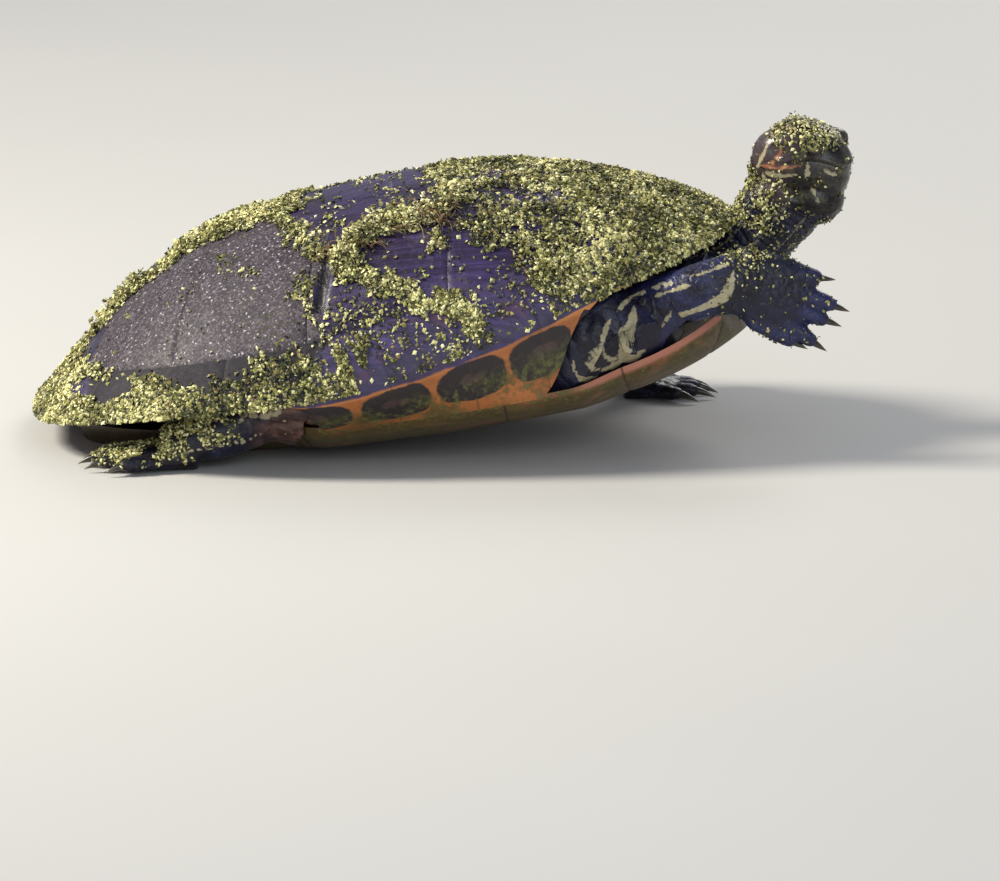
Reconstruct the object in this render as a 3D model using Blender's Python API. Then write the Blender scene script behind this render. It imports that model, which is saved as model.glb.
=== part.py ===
"""Red-bellied cooter, a large pond turtle, life size: a still figure in a basking pose.

Frame: metres, +Z up, the head towards +X and the turtle's left towards +Y. The origin is on the floor under
the middle of the whole figure. The shell is drawn level, in shell lengths, about its own middle, then pitched
nose up and set down so that the back of the plastron rests on the floor.
"""

import math

import bmesh
import bpy
import numpy as np
from mathutils import Matrix, Vector

# Driving dimensions: metres and degrees
SHELL_LENGTH = 0.280
SHELL_PITCH = 15.2
SHELL_MIDDLE_X = -0.02331
SHELL_MIDDLE_Z = 0.0482
GAP = 0.0003

# Shell proportions, in shell lengths about the shell's middle
HUB_X = -0.03
FRONT_REACH = 0.53
REAR_REACH = 0.47
HALF_WIDTH = 0.355
REAR_SWELL = 0.07
DOME_HEIGHT = 0.178
RIM_DIP = 0.046
SCUTE_THICKNESS = 0.009
MARGIN_THICKNESS = 0.018
MARGINALS_A_SIDE = 12
NUCHAL_HALF_ARC = 0.045
MARGINAL_LEAN = 0.034
VERTEBRAL_SEAMS_X = (0.235, 0.06, -0.12, -0.29)
VERTEBRAL_HALF_WIDTHS = (0.078, 0.098)
VERTEBRAL_END_ANGLES = (19.0, 162.0)
COSTAL_RIM_SHARES = (0.375, 0.542, 0.708)

PLASTRON_SEAMS_X = (0.495, 0.405, 0.305, 0.13, -0.12, -0.27, -0.425)
PLASTRON_SEAM_BENDS = (-0.045, 0.05, 0.0, 0.01, -0.02, -0.03, -0.02)
PLASTRON_LOWEST = (0.28, -0.179)
KEEL_RISE_AHEAD = (0.926, 2.09)
KEEL_RISE_BEHIND = (0.152, 1.45)
PLASTRON_THICKNESS = 0.018
PLASTRON_EDGE_RISE = 0.042
BRIDGE_FOOT_Y = 0.298
BRIDGE_FRONT_X = (0.33, 0.25)
BRIDGE_REAR_X = (-0.175, -0.105)
BRIDGE_LAG = 0.02
PLASTRON_BRIDGE_Y = 0.296
TRUNK_REACH = 0.80
TRUNK_CLEARANCE = 0.004

# Head, neck and limbs, in metres
HEAD_LENGTH = 0.0358
HEAD_YAW = -30.0
HEAD_PITCH = -12.0
NAPE = (0.1480, 0.0, 0.1125)
EYE_RADIUS = 0.0042
EYE_STATION = 0.69
EYE_OUT = 0.0088
EYE_UP = 0.0085

BODY = (
    Matrix.Translation((SHELL_MIDDLE_X, 0, SHELL_MIDDLE_Z))
    @ Matrix.Rotation(math.radians(-SHELL_PITCH), 4, "Y")
    @ Matrix.Scale(SHELL_LENGTH, 4)
)


def material(name, colour, roughness, metallic=0.0):
    made = bpy.data.materials.new(name)
    made.use_nodes = True
    shader = made.node_tree.nodes["Principled BSDF"]
    shader.inputs["Base Color"].default_value = (*colour, 1)
    shader.inputs["Roughness"].default_value = roughness
    shader.inputs["Metallic"].default_value = metallic
    return made


def blend(low, high, value):
    """0 below low, 1 above high, and a smooth step between."""
    step = min(max((value - low) / (high - low), 0), 1)
    return step * step * (3 - 2 * step)


def mix(a, b, share):
    return a + (b - a) * share


def along(stations, share):
    """The value at a share of the way along evenly spread stations, joined by a smooth curve."""
    last = len(stations) - 1
    place = min(max(share, 0), 1) * last
    start = min(int(place), last - 1)
    near = [np.array(stations[min(max(start + k, 0), last)], float) for k in (-1, 0, 1, 2)]
    t = place - start
    slope_in = (near[2] - near[0]) / 2
    slope_out = (near[3] - near[1]) / 2
    return (
        near[1] * (2 * t**3 - 3 * t**2 + 1)
        + slope_in * (t**3 - 2 * t**2 + t)
        + near[2] * (3 * t**2 - 2 * t**3)
        + slope_out * (t**3 - t**2)
    )


# ---------------------------------------------------------------- the carapace's surface

def rim_radius(turn):
    """Plan distance from the hub to the rim, at an angle from straight ahead."""
    ahead = math.cos(turn)
    reach, fullness = (FRONT_REACH, 2.25) if ahead > 0 else (REAR_REACH, 2.6)
    across = abs(math.sin(turn)) / HALF_WIDTH
    radius = ((abs(ahead) / reach) ** fullness + across**fullness) ** (-1 / fullness)
    return radius * (1 - REAR_SWELL * ahead * math.sin(turn) ** 2)


def rim_height(x):
    """The rim dips at the sides, most just behind the middle."""
    spread = 0.33 if x > -0.04 else 0.24
    return -RIM_DIP * math.exp(-(((x + 0.04) / spread) ** 2))


def dome_point(turn, out):
    """A point of the carapace's outer surface, at a share of the way from the hub to the rim."""
    radius = rim_radius(turn)
    ahead = math.cos(turn)
    side = math.sin(turn) ** 2
    end_power, end_steepness = (2.2, 0.9) if ahead > 0 else (3.0, 1.4)
    power = mix(end_power, 2.1, side)
    steepness = mix(end_steepness, 0.62, side)
    x = HUB_X + out * radius * ahead
    low = rim_height(HUB_X + radius * ahead)
    height = low + (DOME_HEIGHT - low) * max(1 - out**power, 0) ** steepness
    return Vector((x, out * radius * math.sin(turn), height))


def polar(x, y):
    """The angle and the share of the way to the rim of a plan point."""
    turn = math.atan2(y, x - HUB_X)
    return turn, math.hypot(x - HUB_X, y) / rim_radius(turn)


def dome_normal(turn, out):
    step = 0.004
    out = min(max(out, 0.02), 0.985)
    across = dome_point(turn + step, out) - dome_point(turn - step, out)
    outward = dome_point(turn, out + step) - dome_point(turn, out - step)
    return outward.cross(across).normalized()


def under_dome(turn, out, depth):
    return dome_point(turn, out) - dome_normal(turn, out) * depth


def seam_out(turn):
    """Where the costals and end vertebrals meet the marginals, as a share of the way to the rim."""
    return 0.83 + 0.07 * math.sin(turn) ** 2


def rim_arc_angles(count=720):
    """Angles from straight ahead to straight behind, with the arc length that the rim has run."""
    angles = np.linspace(0, math.pi, count)
    points = np.array([[rim_radius(a) * math.cos(a), rim_radius(a) * math.sin(a)] for a in angles])
    runs = np.concatenate([[0], np.cumsum(np.linalg.norm(np.diff(points, axis=0), axis=1))])
    return angles, runs


RIM_ANGLES, RIM_RUNS = rim_arc_angles()


def rim_turn(share):
    """Angle at a share of the way along the rim from the nuchal to the tail."""
    run = mix(NUCHAL_HALF_ARC, RIM_RUNS[-1], share)
    return float(np.interp(run, RIM_RUNS, RIM_ANGLES))


def marginal_turn(number):
    """Angle of the seam behind a marginal: 0 is the seam with the nuchal and 12 the one at the tail."""
    share = number / MARGINALS_A_SIDE
    return rim_turn(share - MARGINAL_LEAN * math.sin(math.pi * share))


def bridge_share(turn):
    """1 where the marginals turn down to the bridge, 0 at the two ends."""
    x = HUB_X + rim_radius(turn) * math.cos(turn)
    return blend(*BRIDGE_FRONT_X, x) * blend(*BRIDGE_REAR_X, x)


def margin_foot(turn):
    """Inner lower edge of the marginals: under the dome at the ends, down on the bridge at the sides."""
    ends = under_dome(turn, 0.86, MARGIN_THICKNESS)
    x = HUB_X + rim_radius(turn) * math.cos(turn)
    side = math.copysign(1, math.sin(turn))
    foot_x = mix(x, ends.x, 0.3)
    foot_z = plastron_bottom(foot_x, PLASTRON_BRIDGE_Y) + PLASTRON_THICKNESS * 0.4
    bridge = Vector((foot_x, side * BRIDGE_FOOT_Y, foot_z))
    return ends.lerp(bridge, bridge_share(turn))


# ---------------------------------------------------------------- the plastron's surface

def plastron_half_width(x):
    """Half width of the plastron: two lobes, and the bridge between them."""
    front = 0.245 * max(1 - max((x - 0.16) / 0.345, 0) ** 2.6, 0.04) ** 0.5
    rear = 0.235 * max(1 - max((-0.10 - x) / 0.355, 0) ** 2.4, 0.02) ** 0.5
    bridge = blend(*BRIDGE_FRONT_X, x + BRIDGE_LAG) * blend(*BRIDGE_REAR_X, x)
    return mix(min(front, rear), PLASTRON_BRIDGE_Y, bridge)


def floor_under(x):
    """Height of the floor in the pitched shell's own frame."""
    pitch = math.radians(SHELL_PITCH)
    return -(SHELL_MIDDLE_Z / SHELL_LENGTH + x * math.sin(pitch)) / math.cos(pitch)


def plastron_bottom(x, y):
    """Height of the plastron's lower face: lowest under the chest, flat on the floor behind, edges turned up."""
    lowest_x, lowest_z = PLASTRON_LOWEST
    rise, power = KEEL_RISE_AHEAD if x > lowest_x else KEEL_RISE_BEHIND
    keel = lowest_z + rise * abs(x - lowest_x) ** power
    edge = max(abs(y) / plastron_half_width(x) - 0.5, 0) / 0.5
    return max(keel + PLASTRON_EDGE_RISE * edge**1.8, floor_under(x))


def plastron_top(x, y):
    return plastron_bottom(x, y) + PLASTRON_THICKNESS


# ---------------------------------------------------------------- mesh helpers

def finish(name, mesh, matrix, surface):
    """A named object in the scene, placed by a matrix, with its points in world space."""
    bmesh.ops.remove_doubles(mesh, verts=mesh.verts, dist=1e-5)
    bmesh.ops.dissolve_degenerate(mesh, edges=mesh.edges, dist=1e-6)
    bmesh.ops.transform(mesh, matrix=matrix, verts=mesh.verts)
    bmesh.ops.recalc_face_normals(mesh, faces=mesh.faces)
    bmesh.ops.triangulate(mesh, faces=mesh.faces)
    data = bpy.data.meshes.new(name)
    mesh.to_mesh(data)
    mesh.free()
    data.materials.append(surface)
    data.shade_smooth()
    data.set_sharp_from_angle(angle=math.radians(40))
    made = bpy.data.objects.new(name, data)
    bpy.context.collection.objects.link(made)
    return made


def slab(outer, inner):
    """A closed plate between two grids of points of the same size."""
    mesh = bmesh.new()
    rows, columns = len(outer), len(outer[0])
    faces = []
    for grid in (outer, inner):
        faces.append([[mesh.verts.new(point) for point in row] for row in grid])
    top, bottom = faces
    for r in range(rows - 1):
        for c in range(columns - 1):
            mesh.faces.new((top[r][c], top[r][c + 1], top[r + 1][c + 1], top[r + 1][c]))
            mesh.faces.new((bottom[r][c], bottom[r + 1][c], bottom[r + 1][c + 1], bottom[r][c + 1]))
    edge = [(0, c) for c in range(columns)] + [(r, columns - 1) for r in range(1, rows)]
    edge += [(rows - 1, c) for c in range(columns - 2, -1, -1)] + [(r, 0) for r in range(rows - 2, 0, -1)]
    for (r0, c0), (r1, c1) in zip(edge, edge[1:] + edge[:1]):
        mesh.faces.new((top[r0][c0], bottom[r0][c0], bottom[r1][c1], top[r1][c1]))
    return mesh


def skin_rings(rings):
    """A closed body through rings of points, its two ends filled."""
    mesh = bmesh.new()
    loops = [[mesh.verts.new(point) for point in ring] for ring in rings]
    for near, far in zip(loops, loops[1:]):
        count = len(near)
        for k in range(count):
            mesh.faces.new((near[k], near[(k + 1) % count], far[(k + 1) % count], far[k]))
    mesh.faces.new(loops[0][::-1])
    mesh.faces.new(loops[-1])
    return mesh


def ring_at(centre, forward, up, half_wide, half_high, sides, drop=0.0):
    """An oval ring of points across a limb. Drop moves its widest level down."""
    forward = Vector(forward).normalized()
    side = Vector(up).cross(forward).normalized()
    rise = forward.cross(side)
    points = []
    for k in range(sides):
        angle = 2 * math.pi * (k + 0.5) / sides
        lift = half_high * math.sin(angle) - drop * (1 - abs(math.sin(angle)))
        points.append(Vector(centre) + side * half_wide * math.cos(angle) + rise * lift)
    return points


def limb_rings(path, sizes, up, sides=12, steps=8):
    """Rings along a smooth curve through the path's points, with half widths and half heights."""
    rings = []
    for k in range(steps + 1):
        share = k / steps
        centre = Vector(along(path, share))
        ahead = Vector(along(path, min(share + 0.02, 1))) - Vector(along(path, max(share - 0.02, 0)))
        wide, high = along(sizes, share)
        rings.append(ring_at(centre, ahead, up, wide, high, sides))
    return rings


def join_solids(target, tools, operation):
    """Boolean of the target with each tool in turn, applied, with the tools taken away after."""
    for tool in tools:
        cut = target.modifiers.new(operation.title(), "BOOLEAN")
        cut.operation = operation
        cut.solver = "EXACT"
        cut.object = tool
        with bpy.context.temp_override(object=target, active_object=target):
            bpy.ops.object.modifier_apply(modifier=cut.name)


def remove(objects):
    for thing in objects:
        bpy.data.objects.remove(thing)


# ---------------------------------------------------------------- shell plates

def inset(points, centre, share=0.993):
    """Plan points drawn in a little towards a scute's middle, which leaves the gap at its seams."""
    return [[mix(np.array(centre), np.array(p), share) for p in row] for row in points]


def dome_scute(name, plan, surface):
    """A plate on the dome above a grid of plan points."""
    centre = np.mean([p for row in plan for p in row], axis=0)
    places = [[polar(*p) for p in row] for row in inset(plan, centre)]
    outer = [[dome_point(*place) for place in row] for row in places]
    inner = [[under_dome(*place, SCUTE_THICKNESS) for place in row] for row in places]
    return finish(name, slab(outer, inner), BODY, surface)


def seam_point(turn):
    out = seam_out(turn) * rim_radius(turn)
    return np.array((HUB_X + out * math.cos(turn), out * math.sin(turn)))


def polyline(points, count):
    """Points spread along straight runs, with the corners kept."""
    runs = len(points) - 1
    each = max(count // runs, 1)
    spread = []
    for near, far in zip(points, points[1:]):
        spread += [mix(np.array(near), np.array(far), k / each) for k in range(each)]
    return spread + [np.array(points[-1])]


def vertebral_edge(number, side):
    """Corners of a vertebral's side edge, from front to back: 1 is behind the neck and 5 over the tail."""
    narrow, wide = VERTEBRAL_HALF_WIDTHS
    first, last = (math.radians(angle) for angle in VERTEBRAL_END_ANGLES)
    if number == 1:
        start = seam_point(side * first)
        end = np.array((VERTEBRAL_SEAMS_X[0], side * narrow))
        return [start, mix(start, end, 0.5), end]
    if number == 5:
        start = np.array((VERTEBRAL_SEAMS_X[3], side * narrow))
        end = seam_point(side * last)
        return [start, mix(start, end, 0.5), end]
    front, back = VERTEBRAL_SEAMS_X[number - 2 : number]
    middle = np.array(((front + back) / 2, side * wide))
    return [np.array((front, side * narrow)), middle, np.array((back, side * narrow))]


def make_vertebral(number, surface):
    left = polyline(vertebral_edge(number, 1), 4)
    right = polyline(vertebral_edge(number, -1), 4)
    first, last = (math.radians(angle) for angle in VERTEBRAL_END_ANGLES)
    plan = []
    for row, (a, b) in enumerate(zip(left, right)):
        points = [mix(a, b, k / 6) for k in range(7)]
        if number == 1 and row == 0:
            points = [seam_point(first * (1 - k / 3)) for k in range(7)]
        if number == 5 and row == len(left) - 1:
            points = [seam_point(math.pi + (last - math.pi) * (1 - k / 3)) for k in range(7)]
        plan.append(points)
    return dome_scute(f"vertebral_{number}", plan, surface)


def make_costal(number, side, surface):
    """A side plate, between the vertebrals' zigzag edge and the marginals."""
    first, last = (math.radians(angle) for angle in VERTEBRAL_END_ANGLES)
    seams = [first] + [rim_turn(share) for share in COSTAL_RIM_SHARES] + [last]
    front, back = seams[number - 1], seams[number]
    inner = vertebral_edge(number, side)[1:] + vertebral_edge(number + 1, side)[1:2]
    if number == 1:
        inner = vertebral_edge(1, side)[:1] + inner[1:]
    if number == 4:
        inner = inner[:2] + vertebral_edge(5, side)[2:]
    rows = 8
    inside = polyline(inner, rows)
    outside = [seam_point(side * mix(front, back, k / rows)) for k in range(rows + 1)]
    across = 4
    plan = [[mix(a, b, k / across) for k in range(across + 1)] for a, b in zip(inside, outside)]
    tag = "left" if side > 0 else "right"
    return dome_scute(f"costal_{number}_{tag}", plan, surface)


def marginal_section(turn, inner_gap):
    """The wedge of the rim at one angle: down the outer face, round the rim, in below, and back up inside."""
    start = seam_out(turn) + inner_gap / rim_radius(turn)
    outer = [dome_point(turn, 1 - (1 - start) * (1 - k / 4) ** 1.6) for k in range(5)]
    edge = outer[-1]
    foot = margin_foot(turn)
    top_inside = under_dome(turn, start, SCUTE_THICKNESS)
    middle = edge.lerp(foot, 0.5) + Vector((0, 0, -0.004))
    return outer + [middle, foot, foot.lerp(top_inside, 0.5), top_inside]


def make_marginal(name, start, end, surface, columns=3):
    """A length of the rim between two angles, less half a gap at each."""
    mesh = bmesh.new()
    gap = GAP / SHELL_LENGTH
    trim = 0.5 * gap / rim_radius((start + end) / 2) * math.copysign(1, end - start)
    angles = [mix(start + trim, end - trim, k / columns) for k in range(columns + 1)]
    rings = [[mesh.verts.new(point) for point in marginal_section(turn, gap)] for turn in angles]
    for near, far in zip(rings, rings[1:]):
        count = len(near)
        for k in range(count):
            mesh.faces.new((near[k], near[(k + 1) % count], far[(k + 1) % count], far[k]))
    mesh.faces.new(rings[0][::-1])
    mesh.faces.new(rings[-1])
    return finish(name, mesh, BODY, surface)


def make_carapace(surface, margin_surface):
    for number in range(1, 6):
        make_vertebral(number, surface)
    for side in (1, -1):
        for number in range(1, 5):
            make_costal(number, side, surface)
    make_marginal("nuchal", -marginal_turn(0), marginal_turn(0), margin_surface, columns=4)
    for number in range(1, MARGINALS_A_SIDE + 1):
        start, end = marginal_turn(number - 1), marginal_turn(number)
        make_marginal(f"marginal_{number:02d}_left", start, end, margin_surface)
        make_marginal(f"marginal_{number:02d}_right", -start, -end, margin_surface)


def plastron_seam_x(number, share):
    """A seam's place at a share of the way from the midline to the edge."""
    return PLASTRON_SEAMS_X[number] + PLASTRON_SEAM_BENDS[number] * share * share


def make_plastral(name, number, side, surface):
    """One plate of the plastron, from the midline to the edge and from one seam to the next."""
    gap = GAP / SHELL_LENGTH
    across, length = 5, 3
    lower, upper = [], []
    for r in range(length + 1):
        low_row, high_row = [], []
        for c in range(across + 1):
            share = c / across
            front = plastron_seam_x(number, share) - (gap / 2 if number else 0)
            back = plastron_seam_x(number + 1, share) + gap / 2
            x = mix(front, back, r / length)
            y = side * max(share * plastron_half_width(x), gap / 2)
            low_row.append(Vector((x, y, plastron_bottom(x, y))))
            high_row.append(Vector((x, y, plastron_top(x, y))))
        lower.append(low_row)
        upper.append(high_row)
    return finish(name, slab(lower, upper), BODY, surface)


def make_plastron(surface):
    names = ("gular", "humeral", "pectoral", "abdominal", "femoral", "anal")
    for number, name in enumerate(names):
        make_plastral(f"{name}_left", number, 1, surface)
        make_plastral(f"{name}_right", number, -1, surface)


# ---------------------------------------------------------------- the soft body

def drum(top, bottom, reach, turns=32, levels=4):
    """A closed body between two surfaces given over the plan, out to a reach at each angle."""
    mesh = bmesh.new()
    grids = []
    for surface_point in (top, bottom):
        rings = []
        for level in range(1, levels + 1):
            ring = []
            for k in range(turns):
                turn = 2 * math.pi * k / turns
                ring.append(mesh.verts.new(surface_point(turn, reach(turn) * level / levels)))
            rings.append(ring)
        grids.append((mesh.verts.new(surface_point(0.0, 0.0)), rings))
    for hub, rings in grids:
        for k in range(turns):
            after = (k + 1) % turns
            mesh.faces.new((hub, rings[0][k], rings[0][after]))
            for near, far in zip(rings, rings[1:]):
                mesh.faces.new((near[k], far[k], far[after], near[after]))
    above, below = grids[0][1][-1], grids[1][1][-1]
    for k in range(turns):
        after = (k + 1) % turns
        mesh.faces.new((above[k], below[k], below[after], above[after]))
    return mesh


def plan_point(turn, out):
    radius = out * rim_radius(turn)
    return HUB_X + radius * math.cos(turn), radius * math.sin(turn)


def trunk_reach(turn):
    """The trunk stops inside the marginals, and inside the bridge at the sides."""
    side_limit = (BRIDGE_FOOT_Y - 0.012) / max(abs(math.sin(turn)) * rim_radius(turn), 1e-6)
    return min(TRUNK_REACH, side_limit)


def make_trunk(surface):
    """The body inside the shell, a gap clear of the plates, which shows as skin at the two openings."""

    def top(turn, out):
        return under_dome(turn, out, SCUTE_THICKNESS + TRUNK_CLEARANCE)

    def bottom(turn, out):
        x, y = plan_point(turn, out)
        aside = min(abs(y) * 1.25, plastron_half_width(x))
        return Vector((x, y, plastron_top(x, aside) + 2 * TRUNK_CLEARANCE))

    return finish("trunk", drum(top, bottom, trunk_reach), BODY, surface)


def grown(thing, margin):
    """A copy with every point moved out along its normal."""
    mesh = bmesh.new()
    mesh.from_mesh(thing.data)
    mesh.normal_update()
    moves = [(vert, vert.co + vert.normal * margin * vert.calc_shell_factor()) for vert in mesh.verts]
    for vert, place in moves:
        vert.co = place
    return finish(f"{thing.name}_cutter", mesh, Matrix(), thing.data.materials[0])


def bounds(thing):
    points = np.array([vert.co for vert in thing.data.vertices])
    return points.min(axis=0), points.max(axis=0)


def keep_largest(thing):
    """Drops what a cut has left loose."""
    mesh = bmesh.new()
    mesh.from_mesh(thing.data)
    left = set(mesh.verts)
    islands = []
    while left:
        found = {left.pop()}
        edge = list(found)
        while edge:
            vert = edge.pop()
            near = {e.other_vert(vert) for e in vert.link_edges} - found
            found |= near
            edge += near
        left -= found
        islands.append(found)
    largest = max(islands, key=len)
    bmesh.ops.delete(mesh, geom=[vert for vert in mesh.verts if vert not in largest], context="VERTS")
    mesh.to_mesh(thing.data)
    mesh.free()


def trim_to_neighbours(thing, others, gap=GAP):
    """Cuts a piece back to a gap from each of the others that its box meets."""
    low, high = bounds(thing)
    tools = []
    for other in others:
        other_low, other_high = bounds(other)
        if (other_low < high + gap).all() and (low < other_high + gap).all():
            tools.append(grown(other, gap))
    join_solids(thing, tools, "DIFFERENCE")
    remove(tools)
    keep_largest(thing)


def cut_at_floor(thing):
    """Gives a foot its flat sole at floor level."""
    mesh = bmesh.new()
    mesh.from_mesh(thing.data)
    everything = mesh.verts[:] + mesh.edges[:] + mesh.faces[:]
    cut = bmesh.ops.bisect_plane(
        mesh, geom=everything, plane_co=(0, 0, 0), plane_no=(0, 0, 1), clear_inner=True, dist=1e-6
    )
    rims = [item for item in cut["geom_cut"] if isinstance(item, bmesh.types.BMEdge) and item.is_boundary]
    bmesh.ops.holes_fill(mesh, edges=rims)
    mesh.to_mesh(thing.data)
    mesh.free()


# ---------------------------------------------------------------- head, neck and tail

HEAD_STATIONS = (
    # half width, top, bottom, from the nape to the tip of the snout, in metres
    (0.0118, 0.0060, -0.0145),
    (0.0148, 0.0118, -0.0152),
    (0.0155, 0.0144, -0.0150),
    (0.0145, 0.0149, -0.0142),
    (0.0123, 0.0138, -0.0134),
    (0.0096, 0.0106, -0.0122),
    (0.0062, 0.0056, -0.0096),
)
NECK_PATH = (
    (0.070, 0, 0.050), (0.104, 0, 0.056), (0.132, 0, 0.065),
    (0.1476, -0.001, 0.0785), (0.1555, -0.005, 0.0885), (0.1625, -0.009, 0.0985),
)
NECK_SIZES = (
    (0.026, 0.018), (0.021, 0.0165), (0.0170, 0.0150), (0.0155, 0.0150), (0.0155, 0.0172), (0.0145, 0.0175),
)
TAIL_PATH = ((-0.098, 0, 0.022), (-0.116, 0.004, 0.012), (-0.127, 0.018, 0.0068), (-0.131, 0.040, 0.0045))
TAIL_SIZES = ((0.0120, 0.0100), (0.0085, 0.0078), (0.0052, 0.0055), (0.0020, 0.0030))


def head_matrix():
    yaw = Matrix.Rotation(math.radians(HEAD_YAW), 4, "Z")
    pitch = Matrix.Rotation(math.radians(-HEAD_PITCH), 4, "Y")
    return Matrix.Translation((NAPE[0] + SHELL_MIDDLE_X, NAPE[1], NAPE[2])) @ yaw @ pitch


def head_ring(share, sides=16):
    """An outline across the head: a broad flat crown over narrower jaws."""
    wide, top, bottom = along(HEAD_STATIONS, share)
    points = []
    for k in range(sides):
        angle = 2 * math.pi * (k + 0.5) / sides
        across, lift = math.cos(angle), math.sin(angle)
        squared = 1 / (abs(across) ** 2.4 + abs(lift) ** 2.4) ** (1 / 2.4)
        height = lift * squared * (top if lift > 0 else -bottom)
        points.append(Vector((share * HEAD_LENGTH, across * squared * wide, height)))
    return points


def make_head(surface):
    shares = (0, 0.14, 0.28, 0.42, 0.56, 0.70, 0.82, 0.91, 0.97, 1.0)
    rings = [head_ring(share) for share in shares]
    tip = [Vector((HEAD_LENGTH * 1.03, point.y * 0.55, point.z * 0.55 - 0.001)) for point in rings[-1]]
    return finish("head", skin_rings(rings + [tip]), head_matrix(), surface)


def make_eye(side, radius, name, surface):
    mesh = bmesh.new()
    bmesh.ops.create_uvsphere(mesh, u_segments=14, v_segments=8, radius=radius)
    place = head_matrix() @ Matrix.Translation((HEAD_LENGTH * EYE_STATION, side * EYE_OUT, EYE_UP))
    return finish(name, mesh, place, surface)


def shifted(path):
    return [(x + SHELL_MIDDLE_X, y, z) for x, y, z in path]


def make_neck(surface):
    rings = limb_rings(shifted(NECK_PATH), NECK_SIZES, (-1, 0, 0.6), sides=14, steps=6)
    return finish("neck", skin_rings(rings), Matrix(), surface)


def make_tail(surface):
    rings = limb_rings(shifted(TAIL_PATH), TAIL_SIZES, (0, 0, 1), sides=10, steps=6)
    return finish("tail", skin_rings(rings), Matrix(), surface)


# ---------------------------------------------------------------- legs

def toe_rings(root, forward, normal, length, claw, width):
    """A toe and its claw in one taper, the claw hooked away from the foot's upper side."""
    rings = []
    for share, size in ((0, 1.0), (0.98, 0.8)):
        rings.append(ring_at(root + forward * length * share, forward, normal, width * size, width * size * 0.8, 6))
    for share, size, sink in ((0.12, 0.5, 0.0), (0.6, 0.32, 0.06), (1.0, 0.09, 0.22)):
        centre = root + forward * (length + claw * share) - normal * claw * sink
        rings.append(ring_at(centre, forward, normal, width * size, width * size, 6))
    return rings


def make_leg(name, path, sizes, up, foot, surface):
    """A limb along its path, with a palm and five clawed toes at the end of it.

    The foot gives the wrist, the way it points, its upper side's normal, the palm's length, half width and
    thickness, and for each toe how far ahead of the wrist and to which side it starts, its angle and length.
    """
    made = finish(name, skin_rings(limb_rings(path, sizes, up, sides=12, steps=7)), Matrix(), surface)
    wrist, forward, normal = (Vector(foot[key]) for key in ("wrist", "forward", "normal"))
    forward.normalize()
    across = normal.cross(forward).normalized()
    normal = forward.cross(across).normalized()
    palm_rings = []
    for share, wide, thick in ((-0.3, 0.8, 1.1), (0.1, 0.95, 1.0), (0.5, 1.0, 0.85), (0.85, 0.92, 0.62), (1, 0.8, 0.4)):
        centre = wrist + forward * foot["palm"] * share
        half_wide, half_thick = foot["half_width"] * wide, foot["thickness"] * thick
        palm_rings.append(ring_at(centre, forward, normal, half_wide, half_thick, 10))
    pieces = [finish(f"{name}_palm", skin_rings(palm_rings), Matrix(), surface)]
    for number, (ahead, aside, angle, length) in enumerate(foot["toes"]):
        turned = Matrix.Rotation(math.radians(angle), 3, normal) @ forward
        root = wrist + forward * ahead + across * aside
        toe = toe_rings(root, turned, normal, length, foot["claw"], foot["toe_width"])
        pieces.append(finish(f"{name}_toe_{number}", skin_rings(toe), Matrix(), surface))
    join_solids(made, pieces, "UNION")
    remove(pieces)
    return made


def fan(palm, half_width, angles, lengths):
    """Toes spread evenly over the front of a palm."""
    widest = max(abs(angle) for angle in angles)
    toes = []
    for angle, length in zip(angles, lengths):
        ahead = palm * (0.45 - 0.15 * (angle / widest) ** 2)
        toes.append((ahead, half_width * 0.74 * angle / widest, angle, length + palm * 0.45))
    return toes


FOREFOOT = {"palm": 0.017, "half_width": 0.0135, "thickness": 0.0060, "claw": 0.0085, "toe_width": 0.0034}
HINDFOOT = {"palm": 0.024, "half_width": 0.0150, "thickness": 0.0060, "claw": 0.0075, "toe_width": 0.0034}
RAISED_HAND = {"palm": 0.022, "half_width": 0.0160, "thickness": 0.0070, "claw": 0.0085, "toe_width": 0.0036}
HIND_PATH = ((-0.032, 0.038, 0.024), (-0.046, 0.064, 0.020), (-0.064, 0.073, 0.0135), (-0.082, 0.0735, 0.0078))


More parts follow.
